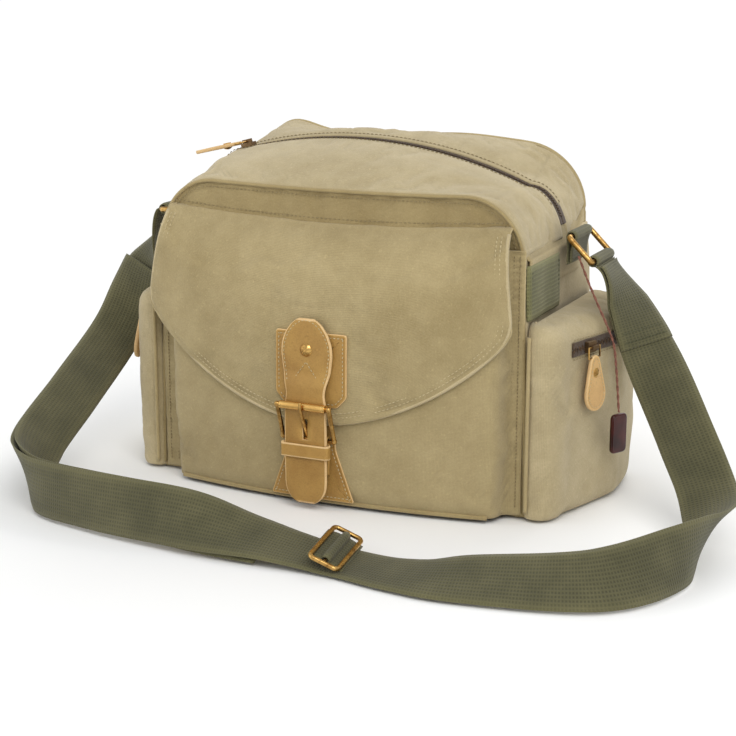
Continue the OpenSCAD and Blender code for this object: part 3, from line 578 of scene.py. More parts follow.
def beads(name, items, mat, cap_dir=1):
    """many small closed shapes; each is a list of rings (centre, axis, axis) of six points"""
    verts, faces = [], []
    for rings in items:
        faces += ring_faces(len(rings), 6, len(verts), cap_dir)
        for centre, u, v in rings:
            for k in range(6):
                a = 2*pi*k/6
                verts.append(centre + u*math.cos(a) + v*math.sin(a))
    return new_mesh(name, verts, faces, mat)


# radius and lift of the five rings of a stitch, as shares of the thread radius
STITCH_RINGS = ((0.35, -0.5), (0.85, 0.15), (1, 0.4), (0.85, 0.15), (0.35, -0.5))


def stitches(name, lines, mat, pitch=3.2, length=2.3, radius=0.34, normal=FRONT):
    """rows of small thread capsules lying along polylines"""
    items = []
    for line in lines:
        line = np.asarray(line, float)
        fine = resample(line, 0.5)
        total = arc_len(line)[-1]
        run = np.linspace(0, total, len(fine))
        count = max(1, int(total/pitch))
        for i in range(count):
            start = (total - count*pitch)/2 + i*pitch + (pitch - length)/2
            centres = points_at(fine, np.linspace(start, start + length, 5), run)
            along = unit(centres[-1] - centres[0])
            up = np.asarray(normal, float)
            up = unit(up - along*(up @ along))
            side = np.cross(along, up)
            items.append([(c + up*radius*lift, up*radius*share, side*radius*share)
                          for c, (share, lift) in zip(centres, STITCH_RINGS)])
    return beads(name, items, mat)


def plate(name, outline, thick, place, mats, bevel=0.5, crown=0.0, groove=2.0,
          groove_depth=0.22, seed=0, uneven=0.12, rounding=2):
    """Leather-like plate with a rounded raw edge and a pressed line inside it.

    outline is counter-clockwise; place(u, v, h) gives x, y, z, with h = 0 mid plane.
    mats are the face and the edge."""
    edge = densify(outline, rounding)
    centre = edge.mean(0)
    n = len(edge)
    half = thick/2
    profile = ((0.0, 0.0), (bevel*0.25, half*0.62), (bevel, half),      # inset, height
               (groove*0.72, half), (groove, half - groove_depth), (groove*1.3, half))
    rings = [(offset_poly(edge, inset), height) for inset, height in profile]
    inner = rings[-1][0]
    rings += [(centre + (inner - centre)*k, half + crown*(1 - k*k))
              for k in (0.84, 0.66, 0.48, 0.3, 0.13)]
    verts, faces, face_mats, uv = [], [], [], []

    def add(flat, height, side):
        start = len(verts)
        wave = uneven*fbm(flat[:, 0]*0.07, flat[:, 1]*0.07, seed*3.1, 2, seed)
        verts.extend(np.stack(place(flat[:, 0], flat[:, 1], side*height + wave), 1))
        uv.extend(flat*MM)
        return start

    shared = add(*rings[0], 1)      # the outermost ring serves both faces
    for side in (1, -1):
        starts = [shared] + [add(flat, height, side) for flat, height in rings[1:]]
        middle = add(centre[None], half + crown, side)
        for r in range(len(starts) - 1):
            a, b = starts[r], starts[r + 1]
            for k in range(n):
                m = (k + 1) % n
                faces.append((a + k, a + m, b + m, b + k))
                face_mats.append(1 if r < 2 else 0)
        for k in range(n):
            faces.append((starts[-1] + k, starts[-1] + (k + 1) % n, middle))
            face_mats.append(0)
    return new_mesh(name, verts, faces, mats, uv, face_mats)


def plate_line(outline, inset, place, height):
    """closed line on a plate, inset from its edge"""
    line = offset_poly(densify(outline), inset)
    line = np.vstack([line, line[:1]])
    return points(*place(line[:, 0], line[:, 1], height))


def posed(turn, origin, sg=1):
    """place function: a plate facing -y, turned, moved and mirrored when sg is -1"""
    def place(a, b, h):
        q = points(a, -h, b) @ turn.T + origin
        return sg*q[..., 0], q[..., 1], q[..., 2]
    return place


def ribbon(name, centre, across, width, thick, mat=WEBBING, along=None):
    """flat webbing with rounded edges, swept along centre"""
    along = tangents(centre) if along is None else along
    lift = np.cross(along, across)
    share = np.linspace(-1, 1, 11)
    half = thick/2*np.sqrt(np.clip(1 - np.abs(share)**10, 0.0, 1))
    half[0] = half[-1] = thick*0.16
    over = np.concatenate([share, share[::-1]])*width/2     # out over the top, back below
    rise = np.concatenate([half, -half[::-1]])
    lift = np.broadcast_to(lift, centre.shape)[:, None]
    across = np.broadcast_to(across, centre.shape)[:, None]
    verts = centre[:, None] + across*over[:, None] + lift*rise[:, None]
    uv = np.stack(np.broadcast_arrays(arc_len(centre)[:, None], over), -1)*MM
    return new_mesh(name, verts.reshape(-1, 3), ring_faces(len(centre), len(over)), mat,
                    uv.reshape(-1, 2))


# ------------------------------------------------------------------ binding to moving parts
def attach(obj, body, slot, *nodes):
    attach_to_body(obj, body)
    if nodes:
        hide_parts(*nodes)


# a body name and two points (metres) for where a bend would start and end
FRONT_LEAF = ("front_leaf", (0, -0.066, 0.211), (0, 0.002, 0.235))
BACK_LEAF = ("back_leaf", (0, 0.055, 0.23), (0, 0.01, 0.235))
FLAP = ("flap", (0, -0.074, 0.188), (0, -0.084, 0.176))


def attach_bending(obj, slot, bend, weight, *nodes):
    """weight(x, y, z) in mm gives each point a share from 0 to 1; the shares are worked out
    but not applied
    """
    if nodes:
        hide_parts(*nodes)
    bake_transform(obj)
    co = np.empty(len(obj.data.vertices)*3)
    obj.data.vertices.foreach_get("co", co)
    share = np.clip(weight(*(co.reshape(-1, 3)/MM).T), 0, 1)


def leaf_weight(x, y, z):
    return 1 - smoothstep(92, 117, np.abs(x))


# ------------------------------------------------------------------ shape of the body
def front_rim_z(x):
    d = np.clip(np.abs(x) - CORNER_X, 0, CORNER_R - 0.3)
    return CORNER_Z + np.sqrt(CORNER_R**2 - d*d)


def arch_z(x):
    return ARCH_TOP - ARCH_R + np.sqrt(ARCH_R**2 - (np.asarray(x, float) - ARCH_X)**2)


def zip_z(x):
    """height of the main zip: the arch, then a turn down to z = 174 at each end"""
    x = np.asarray(x, float)
    d = np.clip((np.abs(x) - ARCH_END)/27, 0, 0.995)
    turn = 174 + (arch_z(np.sign(x)*ARCH_END) - 174)*(1 - d**2.2)**0.62
    return np.where(np.abs(x) <= ARCH_END, arch_z(x), turn)


def back_rim_z(x):
    d = np.clip(np.abs(x) - BACK_CORNER_X, 0, BACK_CORNER_R - 0.3)
    return (BACK_CORNER_Z + np.sqrt(BACK_CORNER_R**2 - d*d)
            - np.asarray(x, float)**2/BACK_CROWN)


def hump(x):
    """the soft back edge stands higher at its left corner and a little right of the middle"""
    x = np.asarray(x, float)
    return 9.5*np.exp(-((x + 98)/27)**2) + 3.5*np.exp(-((x - 42)/42)**2) + 1.0


def back_swell(x, t):
    """extra height of the back half; t runs 0 at the zip to 1 at the back edge"""
    return 4.0*np.sin(t*pi)**0.9*(1 - np.clip(np.abs(x)/128, 0, 1)**4)


def top_z(x, y):
    front = np.clip((y + 66)/72, 0, 1)
    back = np.clip((y - ZIP_Y)/49, 0, 1)
    return np.where(
        y <= ZIP_Y, front_rim_z(x) + (zip_z(x) - front_rim_z(x))*np.sin(front*pi/2),
        zip_z(x) + (back_rim_z(x) + hump(x) - zip_z(x))*(1 - np.cos(back*pi/2))
        + back_swell(x, back))


def sag(P):
    """the top front seam gives a little at mid width (changes P)"""
    P[..., 2] -= (2.2*np.clip(1 - (P[..., 0]/105)**2, 0, 1)*smoothstep(186, 212, P[..., 2])
                  * (1 - smoothstep(-71, -30, P[..., 1])))
    return P


TOP_STATIONS = 141


def rim_curve(height, half_width):
    """(x, z) from right over the top to left, even in length, as two columns"""
    x = half_width*np.sin(np.linspace(pi/2, -pi/2, 800))
    line = np.stack([x, height(x)], 1)
    even = points_at(line, np.linspace(0, arc_len(line)[-1], TOP_STATIONS))
    return even.T[:, :, None]


def top_sheet(start, stop, rows, front):
    """grid over one half of the top; rows run from front to back"""
    q = start + (stop - start)*np.arange(rows)/(rows - 1)
    zip_x, zip_height = rim_curve(zip_z, 134.9)
    if front:
        rim_x, rim_z = rim_curve(front_rim_z, 133.7)
        seam_y = FRONT_Y + 0.6
        return sag(points(rim_x + (zip_x - rim_x)*q, seam_y + (ZIP_Y - seam_y)*q,
                          rim_z + (zip_height - rim_z)*np.sin(q*pi/2)))
    rim_x, rim_z = rim_curve(back_rim_z, 130.7)
    x = zip_x + (rim_x - zip_x)*q
    z = zip_height + (rim_z + hump(x) - zip_height)*(1 - np.cos(q*pi/2)) + back_swell(x, q)
    return points(x, ZIP_Y + (BACK_Y - BACK_LEAN*rim_z - ZIP_Y)*q, z)


def build_top():
    def half(name, P, relief, bend, weight, nodes):
        P = P + outward_normals(P, UP)*relief[..., None]
        obj = shell(name, P, 2.2, CANVAS_PAINTED_LIT, UP)
        puff(obj, cap=2.0, pressure=1.5, frames=12, grow=0.012)
        attach_bending(obj, "canvas", bend, weight, *nodes)

    P = top_sheet(0.0, 0.93, 30, front=True)
    x, y, z = np.moveaxis(P, -1, 0)
    corner = np.exp(-((np.abs(x) - 112)/26)**2)
    crease = np.sin(x*0.11 + y*0.17)*corner
    wrinkle = fbm(x*0.016, y*0.045, z*0.02, 3, 5)
    relief = (0.9*wrinkle + 0.7*crease - 0.9*(1 - corner))*np.sin(np.linspace(0, 1, 30)*pi)
    half("top_front_soft", P, relief, FRONT_LEAF,
         lambda x, y, z: leaf_weight(x, y, z)*smoothstep(-68, -50, y),
         ("top_front_leaf", "top_corner_right"))

    P = top_sheet(0.1, 1.0, 26, front=False)
    x, y, z = np.moveaxis(P, -1, 0)
    relief = 0.9*fbm(x*0.02, y*0.05, z*0.02, 3, 9)*np.sin(np.linspace(0, 1, 26)*pi)
    half("top_back_soft", P, relief, BACK_LEAF,
         lambda x, y, z: leaf_weight(x, y, z)*(1 - smoothstep(38, 56, y)),
         ("top_back_leaf", "top_corner_left"))


# ------------------------------------------------------------------ main zip
# offset from the zip line and half sizes along and above it, for each ring of a tooth
TOOTH_RINGS = ((-0.05, 0.34, 0.35), (0.75, 0.5, 0.5), (2.05, 0.42, 0.42), (2.55, 0.3, 0.2))


def main_zip_coil(name, side):
    x = np.linspace(-132, 132, 3000)
    line = np.stack([x, zip_z(x)], 1)
    run = arc_len(line)
    teeth = []
    for i in range(int(run[-1]/ZIP_PITCH)):
        at = (i + (0.5 if side > 0 else 0.0))*ZIP_PITCH + 0.5
        here, ahead = points_at(line, [at, at + 0.3], run)
        tx, tz = unit(ahead - here)
        along, up = np.array([tx, 0, tz]), np.array([-tz, 0, tx])
        centre = np.array([here[0], ZIP_Y, here[1]]) + up*0.1
        teeth.append([(centre + np.array([0, dy*side, 0]), along*half_along, up*half_up)
                      for dy, half_along, half_up in TOOTH_RINGS])
    return beads(name, teeth, ZIP_COIL, cap_dir=-1)


def build_main_zip():
    x = 133*np.sin(np.linspace(pi/2, -pi/2, 150))[:, None]
    for name, y0, y1, bend, side, nodes in (
            ("zip_front_soft", -0.9, 5.6, FRONT_LEAF, -1, ("zip_tape_front", "zip_end_tape")),
            ("zip_back_soft", 6.4, 13.0, BACK_LEAF, 1, ("zip_tape_back",))):
        y = np.linspace(y0, y1, 5)
        z = zip_z(x) - 0.7 + 0.16*(y - ZIP_Y)*(1 - np.abs(x/133)**6)
        tape = shell(name, points(x, y, z), 1.0, ZIP_TAPE, UP)
        coil = main_zip_coil(name + "_coil", side)
        attach_bending(tape, "zip_tape", bend, leaf_weight, *nodes)
        attach_bending(coil, "zip_tape", bend, leaf_weight)
    x = np.linspace(-128, 128, 300)
    for name, y, bend in (("zip_stitch_front", -1.6, FRONT_LEAF),
                          ("zip_stitch_back", 13.6, BACK_LEAF)):
        obj = stitches(name, [points(x, y, top_z(x, y) + 0.35)], THREAD_DARK, normal=UP)
        attach_bending(obj, "canvas", bend, leaf_weight)


# ------------------------------------------------------------------ walls and base
ACROSS = np.sin(np.linspace(-pi/2, pi/2, 70))[:, None]      # -1 left to 1 right
FRONT_TAPER, BACK_TAPER = 5, 8.3    # narrowing from the base up to the top corners


def front_outline(inset, y):
    radius = CORNER_R - inset
    left = [(-(HALF_W - FRONT_TAPER*z/CORNER_Z - inset), z)
            for z in np.linspace(4, CORNER_Z, 30)]
    left += [(-CORNER_X - radius*math.cos(t), CORNER_Z + radius*math.sin(t))
             for t in np.linspace(0.05, pi/2, 16)]
    x, z = both_halves(left, [(x, FRONT_TOP - inset) for x in np.linspace(-88, 88, 40)]).T
    return sag(points(x, y, z))


def build_front():
    z = np.concatenate([np.linspace(1, 168, 40),
                        CORNER_Z + 41.6*np.sin(np.linspace(0, pi/2, 34))])
    half_width = np.where(
        z <= CORNER_Z, HALF_W - FRONT_TAPER*z/CORNER_Z,
        CORNER_X + np.sqrt(np.clip(CORNER_R**2 - (z - CORNER_Z)**2, 0, None)))
    x = ACROSS*(half_width - 1.6)
    bulge = (1 - ACROSS**2)*np.sin(np.clip(z/FRONT_TOP, 0, 1)*pi)
    y = FRONT_Y - 0.3 - bulge*(0.9 + 0.35*fbm(x*0.02, z*0.05, 0, 3, 3))
    panel = shell("front_panel_soft", sag(points(x, y, z)), 2.2, CANVAS_PAINTED_SHADE, FRONT)
    puff(panel, cap=1.6, pressure=1.5, frames=10, grow=0.006)
    attach(panel, "bag", "canvas", "front_panel")

    seam = resample(front_outline(1.2, -71.2), 2.0)
    seam[:, 1] += 0.25*fbm(*(seam.T*0.06), 2, 4)
    attach(tube("front_seam_roll", seam, 1.3, CANVAS_PAINTED_SHADE, 10),
           "bag", "canvas", "front_piping")
    attach(stitches("front_seam_stitch", [front_outline(5.2, -71.6)], THREAD_DARK,
                    pitch=3.0, length=2.1), "bag", "canvas")


def build_sides():
    across = np.linspace(0, 1, 46)[:, None]
    z = np.linspace(1.5, 178, 60)
    y = -69.4 + (BACK_Y - BACK_LEAN*z + 69.0)*across
    bulge = np.sin(across*pi)*np.sin(np.clip(z/178, 0, 1)*pi)
    for sg, side in SIDES:
        wrinkle = fbm(y*0.04, z*0.03, sg, 3, 12)
        x = sg*(HALF_W - SIDE_LEAN*z - 0.3 - 1.2*smoothstep(150, 178, z)
                + bulge*(0.6*wrinkle - 0.7))
        attach(shell("side_soft_" + side, points(x, y, z), 2.0, CANVAS_PAINTED_LIT, (sg, 0, 0)),
               "bag", "canvas", "side_panel_" + side)


def build_back():
    z = np.concatenate([np.linspace(0.8, 186, 40),
                        BACK_CORNER_Z + 42*np.sin(np.linspace(0, pi/2, 26))])
    half_width = np.where(
        z <= BACK_CORNER_Z, HALF_W - BACK_TAPER*z/BACK_CORNER_Z,
        BACK_CORNER_X + np.sqrt(np.clip(BACK_CORNER_R**2 - (z - BACK_CORNER_Z)**2, 0, None)))
    x = ACROSS*(half_width - 0.6)
    height = z + (hump(x) - x**2/BACK_CROWN)*smoothstep(BACK_CORNER_Z, BACK_TOP, z)
    bulge = (1 - ACROSS**2)*np.sin(np.clip(z/BACK_TOP, 0, 1)*pi)
    y = BACK_Y - BACK_LEAN*z + bulge*(1.2 + 0.7*fbm(x*0.018, height*0.03, 0, 3, 21))
    panel = shell("back_panel_soft", points(x, y, height), 2.2, CANVAS, BACK)
    puff(panel, cap=4.0, pressure=2.5, frames=14, grow=0.01)
    attach(panel, "bag", "canvas", "back_panel")

    radius = 42.4
    left = [(-(HALF_W - BACK_TAPER*z/BACK_CORNER_Z - 0.8), z)
            for z in np.linspace(4, BACK_CORNER_Z, 40)]
    for t in np.linspace(0, pi/2, 16):
        x = BACK_CORNER_X + radius*math.cos(t)
        left.append((-x, BACK_CORNER_Z + radius*math.sin(t) - x**2/BACK_CROWN*math.sin(t)))
    top = [(x, 230.6 - x*x/BACK_CROWN) for x in np.linspace(-84, 84, 40)]
    x, z = both_halves(left, top).T
    seam = points(x, 70.4 - BACK_LEAN*z,
                  z + hump(x)*smoothstep(BACK_CORNER_Z, BACK_TOP, z))
    attach(tube("back_seam_roll", resample(seam, 2.0), 1.35, CANVAS, 10),
           "bag", "canvas", "back_piping")
    x, y, z = seam.T
    row = points(x*0.962, y + 1.6, 4 + (z - 4)*0.975)
    attach(stitches("back_seam_stitch", [row], THREAD_DARK, length=2.2, normal=BACK),
           "bag", "canvas")


def build_base():
    """bottom panel, slightly arched between stiff edges"""
    half_x, half_y = 137, 68
    x = np.linspace(-half_x, half_x, 60)[:, None]
    y = np.linspace(-half_y, half_y, 34)
    middle = (1 - (x/half_x)**2)*(1 - (y/half_y)**2)
    z = 0.5 + middle*(1.0 + 0.25*fbm(x*0.03, y*0.03, 0, 2, 8))
    attach(shell("base_soft", points(x, y, z), 2.0, CANVAS_PAINTED_SHADE, DOWN),
           "bag", "canvas", "base_panel")


# ------------------------------------------------------------------ front pocket
def arc_y(radius, x):
    return POCKET_CY - np.sqrt(radius*radius - np.asarray(x, float)**2)


def roll(z):
    """1 at the fold of the flap, dying away below it"""
    return np.exp(-(FOLD_Z - np.asarray(z, float))/ROLL_LEN)


def pocket_lean(y, z):
    """the bulge dies away under the flap, toward the open edge"""
    return POCKET_BACK_Y + (y - POCKET_BACK_Y)*(1 - 1.2*roll(z))


def build_front_pocket():
    # (x, y) seen from above: left flange and wall, the bulging face, right wall and flange
    left, right = POCKET_L, POCKET_RT
    plan = [(-134.5, -72.4), (-128, -72.8), (-121.5, -73.4), (left - 1.0, -75.5),
            (left, -79), (left, -85), (left + 1.2, -89.2)]
    plan += [(x, arc_y(POCKET_R, x))
             for x in (left + 4.5, *np.linspace(left + 9, right - 9, 60), right - 4.5)]
    plan += [(right - 1.2, -88.4), (right, -84), (right, -79), (right + 1.0, -75.5),
             (right + 3.2, -73.4), (130, -72.8), (134.5, -72.4)]
    plan = smooth(resample(plan, 2.4), 2)
    x, plan_y = plan[:, 0][:, None], plan[:, 1][:, None]
    z = 3 + 175*np.sin(np.linspace(0, pi/2, 80))**0.9

    y = np.where(plan_y < POCKET_BACK_Y, pocket_lean(plan_y, z), plan_y)
    wrinkle = fbm(x*0.022, z*0.04, y*0.02, 3, 31)
    face = smoothstep(-78, -90, plan_y)
    foot = 1 - smoothstep(3, 14, z)
    y = y + face*(2.34*foot + 0.3 + 0.3*wrinkle)
    flange = 1 - smoothstep(-73.0, -76, plan_y)
    y = y - flange*np.abs(np.sin(z*0.62 + 1.3*np.sin(z*0.11)))*0.55
    low = 1 - smoothstep(2, 60, z)
    wall = smoothstep(-74, -78, plan_y)
    x = (x + np.exp(-((x - left)/7)**2)*wall*(2.2*np.sin(z*0.075)*low + 1.0*wrinkle)
         + np.exp(-((x - right)/7)**2)*wall*(-1.2*np.sin(z*0.06 + 1)*low + 0.8*wrinkle))
    pocket = shell("front_pocket_soft", points(x, y, z), 2.0, CANVAS, FRONT)
    puff(pocket, cap=1.0, pressure=1.2, frames=12, grow=0.012)
    attach(pocket, "bag", "canvas", "front_pocket_face", "front_pocket_gusset")

    rows = [points(x, -73.6, np.linspace(7, 176, 80)) for x in (127.6, 131.6, -124.4, -130.4)]
    attach(stitches("pocket_side_stitch", rows, THREAD_DARK, pitch=2.4, length=1.7),
           "bag", "canvas")
    x, hem_z = np.linspace(-108, 116, 160), 172
    hem = points(x, pocket_lean(arc_y(POCKET_R, x), hem_z) - 0.9, hem_z)
    attach(stitches("pocket_hem_stitch", [hem], THREAD_DARK), "bag", "canvas")
    x = np.linspace(-110, 118, 160)
    attach(tube("pocket_foot_roll", points(x, arc_y(614.6, x) + 1.2, 3.4), 1.6,
                CANVAS_PAINTED_SHADE, 10), "bag", "canvas")


# ------------------------------------------------------------------ flap
def flap_y(x, z):
    """outer face of the flap: hangs from the sewn line and rolls forward over the pocket"""
    hanging = arc_y(619.6, x)
    return hanging + (-73.6 - hanging)*roll(z)


def flap_narrow(z):
    """the flap narrows toward the sewn line"""
    return 1 - 0.062*np.clip((np.asarray(z, float) - 125)/62, 0, 1)


def flap_low_z(x):
    """curved lower edge, lowest at the middle"""
    return 130 - 72*(1 - np.minimum(np.abs(x)/134, 1)**1.8)**0.8


def sewn_z(x):
    return 187.4 + 5.4*(np.asarray(x, float)/120)**2


def hang_y(x, z):
    """flap face with the fold following the curved sewn line"""
    return flap_y(x, np.minimum(z - (sewn_z(x) - FOLD_Z), FOLD_Z))


def flap_weight(x, y, z):
    below = np.where(z > sewn_z(x), 0, 1)
    return smoothstep(1.2, 13.0, np.hypot(y + 74, z - sewn_z(x))*below)


def flap_edge(inset, lift):
    """line round the free edge, inset from it and standing off the face by lift"""
    left = [(-FLAP_HALF*float(flap_narrow(z)) + inset, z) for z in np.linspace(189, 134, 26)]
    low = []
    end = 132.6 - inset*0.9
    for x in np.linspace(-end, end, 150):
        slope = 0.6 + 0.4*math.sqrt(max(0, 1 - (x/134)**2))
        z = flap_low_z(x) + inset
        if abs(x) < 129:
            z = flap_low_z(x*134/(134 - inset*0.55 + 1e-6)) + inset*slope
        low.append((x, float(z)))
    x, z = smooth(both_halves(left, low), 4).T
    return points(x, hang_y(x, z) - lift, z)


def build_flap():
    columns, row_count = 110, 66
    across = np.sin(np.linspace(-pi/2, pi/2, columns))
    rows = []
    for k in range(row_count):
        q = k/(row_count - 1)
        q = q*(0.72 + 0.28*q)
        x = across*FLAP_HALF
        top = sewn_z(x*0.938) + 0.4
        z = top + (flap_low_z(x*0.998) - top)*q
        x = x*flap_narrow(z)
        tuck = 3.4*math.exp(-k/1.1)*(k < 5)     # the first rows turn in to the body
        rows.append(points(x, hang_y(x, z) + tuck, z))
    P = np.stack(rows, 1)
    x, _, z = np.moveaxis(P, -1, 0)
    wrinkle = fbm(x*0.014, z*0.022, 0, 3, 41)
    closure = np.exp(-((x + 2)/34)**2 - ((z - 96)/36)**2)   # kept flat under the leather
    drape = np.sin(x*0.045 + 0.6)*smoothstep(185, 120, z)
    relief = (np.clip(1 - np.abs(across)**6, 0, 1)[:, None]*(0.9*wrinkle + 0.7*drape)
              * (1 - closure)*smoothstep(188, 170, z))
    relief[:, -2:] += 0.35                                  # thicker hem
    P = P + outward_normals(P, FRONT)*relief[..., None]
    flap = shell("flap_soft", P, 1.9, CANVAS, FRONT)
    x, _, z = np.moveaxis(P, -1, 0)
    puff(flap, cap=1.3, pressure=1.4, frames=14, grow=0.014,
         hold=(np.abs(x + 1) < 33) & (z < 138) & (z > 50))
    attach_bending(flap, "canvas", FLAP, flap_weight, "flap_panel", "flap_seam_strip")
    attach_bending(tube("flap_edge_roll", resample(flap_edge(0.3, -0.9), 2.2), 1.35,
                        CANVAS_PAINTED_LIT, 8), "canvas", FLAP, flap_weight)
    rows = [flap_edge(4.2, 0.7), flap_edge(7.2, 0.7)]
    attach_bending(stitches("flap_stitch", rows, THREAD, pitch=3.0, length=2.1),
                   "canvas", FLAP, flap_weight)
    x = np.linspace(-124.5, 124.5, 170)
    attach(stitches("flap_sewn_stitch", [points(x, -71.9, sewn_z(x) + 2.6)], THREAD_DARK),
           "bag", "canvas")


# ------------------------------------------------------------------ closure leather
# outlines are (across, up), counter-clockwise seen from the front
FLAP_PATCH = [(-26, 78), (-19, 70.5), (19, 70.5), (26, 78), (26, 120.5), (-26, 120.5)]
POCKET_PATCH = [(-18, 40), (-31, 5), (31, 5), (18, 40), (15, 72), (-15, 72)]
TONGUE_HALF = 15.5
# widening of the strap beyond TONGUE_HALF, and height, up to its bell-shaped head
BELL = [(-1.5, 80), (-0.2, 86), (2, 95), (3.4, 106), (2.8, 113), (0.2, 120), (-4.5, 126.4),
        (-10, 130.2), (-14, 131.3)]
CLOSURE = ([(-TONGUE_HALF*math.cos(t), 18.5 - TONGUE_HALF*math.sin(t))
            for t in np.linspace(0, pi, 19)]
           + [(TONGUE_HALF, 50), (TONGUE_HALF, 70)]
           + [(TONGUE_HALF + a, b) for a, b in BELL]
           + [(-TONGUE_HALF - a, b) for a, b in BELL[::-1]]
           + [(-TONGUE_HALF, 70), (-TONGUE_HALF, 50)])
SLOT_HALF, SLOT_Z = 1.9, (48, 63)       # slot in the strap for the buckle prong
# share of the half width and height of the face, from the left edge to the slot
STRAP_COLUMNS = [(1, 0.0), (0.97, 0.85), (0.925, 1.2), (0.87, 0.98), (0.83, 1.2), (0.6, 1.2),
                 (0.4, 1.2), (0, 1.2)]


def flap_patch_place(a, b, h):
    return a - 0.5, flap_y(a - 0.5, b) - 1.1 - h, b


def closure_place(a, b, h):
    q = smoothstep(84, 95, b)
    return a + CLOSURE_X, -112.8*(1 - q) - 110.1*q - h, b


def pocket_patch_place(a, b, h):
    return a + CLOSURE_X, arc_y(616.85, a + CLOSURE_X) - h, b


def closure_strap():
    """strap as a grid of rows and columns, so that the slot is a real opening"""
    outline = densify(CLOSURE)
    z = np.linspace(outline[:, 1].min(), outline[:, 1].max(), 100)[1:-1]
    limits = []
    for level in z:
        a, b = outline, np.roll(outline, -1, 0)
        hit = (a[:, 1] - level)*(b[:, 1] - level) < 0
        a, b = a[hit], b[hit]
        x = a[:, 0] + (b[:, 0] - a[:, 0])*(level - a[:, 1])/(b[:, 1] - a[:, 1])
        limits.append((x.min(), x.max()))
    low, high = np.array(limits).T[:, :, None]
    share, height = np.array(STRAP_COLUMNS).T
    share = np.concatenate([-share, share[::-1]])
    height = np.concatenate([height, height[::-1]])
    x = (low + high)/2 + share*(high - low)/2
    x[:, 7], x[:, 8] = -SLOT_HALF, SLOT_HALF
    z_grid = z[:, None]
    end = np.minimum(z_grid - z[0] + 0.25, z[-1] - z_grid + 0.25)/1.3
    height = height*np.sqrt(np.clip(end, 0, 1))     # the face runs down at both ends
    uneven = 0.1*fbm(x*0.06, z_grid*0.06, 1.0, 2, 3)
    front, back = [points(*closure_place(x, z_grid, side*height + uneven)) for side in (1, -1)]
    rows, cols = x.shape
    front_ids = np.arange(rows*cols).reshape(rows, cols)
    back_ids = front_ids.copy()                     # the two edge columns are shared
    back_ids[:, 1:-1] = rows*cols + np.arange(rows*(cols - 2)).reshape(rows, cols - 2)
    verts = np.vstack([front.reshape(-1, 3), back[:, 1:-1].reshape(-1, 3)])
    flat = np.stack([x, np.broadcast_to(z_grid, x.shape)], -1)*MM
    uv = np.vstack([flat.reshape(-1, 2), flat[:, 1:-1].reshape(-1, 2)])

    slot = [i for i in range(rows - 1) if SLOT_Z[0] < z[i] and z[i + 1] < SLOT_Z[1]]
    faces, face_mats = [], []
    for ids in (front_ids, back_ids):
        for i in range(rows - 1):
            for j in range(cols - 1):
                if j == 7 and i in slot:
                    continue
                faces.append((ids[i, j], ids[i + 1, j], ids[i + 1, j + 1], ids[i, j + 1]))
                edge = j in (0, 1, cols - 2, cols - 3) or i < 1 or i > rows - 3
                face_mats.append(1 if edge else 0)
    for i in slot:
        for j in (7, 8):
            faces.append((front_ids[i, j], front_ids[i + 1, j],
                          back_ids[i + 1, j], back_ids[i, j]))
    ends = [(i, 7) for i in (slot[0], slot[-1] + 1)]
    ends += [(i, j) for i in (0, rows - 1) for j in range(cols - 1)]
    for i, j in ends:
        quad = (front_ids[i, j], front_ids[i, j + 1], back_ids[i, j + 1], back_ids[i, j])
        faces.append(tuple(dict.fromkeys(quad)))    # a shared corner makes it a triangle
    face_mats += [1]*(len(faces) - len(face_mats))
    return new_mesh("closure_strap_soft", verts, faces, HIDE, uv, face_mats)


def build_closure():
    patch_stitch = dict(pitch=2.8, length=1.9)
    attach(plate("flap_patch_soft", FLAP_PATCH, 1.8, flap_patch_place, HIDE, seed=2),
           "flap", "leather", "flap_patch")
    attach(stitches("flap_patch_stitch", [plate_line(FLAP_PATCH, 2.6, flap_patch_place, 0.95)],
                    THREAD, **patch_stitch), "flap", "leather")
    attach(closure_strap(), "flap", "leather", "closure_strap")
    head = [p for p in plate_line(CLOSURE, 2.4, closure_place, 1.15) if p[2] > 86]
    left = sorted([p for p in head if p[0] < CLOSURE_X], key=lambda p: p[2])
    right = sorted([p for p in head if p[0] >= CLOSURE_X], key=lambda p: -p[2])
    rows = [left + right,
            [(-13, -112.4, 86.5), (9, -112.4, 86.5)],
            [(-12, -112.0, 87.5), (-2, -111.4, 101), (8, -112.0, 87.5)]]
    attach(stitches("closure_stitch", rows, THREAD, pitch=2.7, length=1.8, radius=0.28),
           "flap", "leather")
    attach(plate("pocket_patch_soft", POCKET_PATCH, 1.2, pocket_patch_place, HIDE, seed=6),
           "bag", "leather", "pocket_patch")
    row = plate_line(POCKET_PATCH, 2.6, pocket_patch_place, 0.65)
    attach(stitches("pocket_patch_stitch", [row], THREAD, **patch_stitch), "bag", "leather")


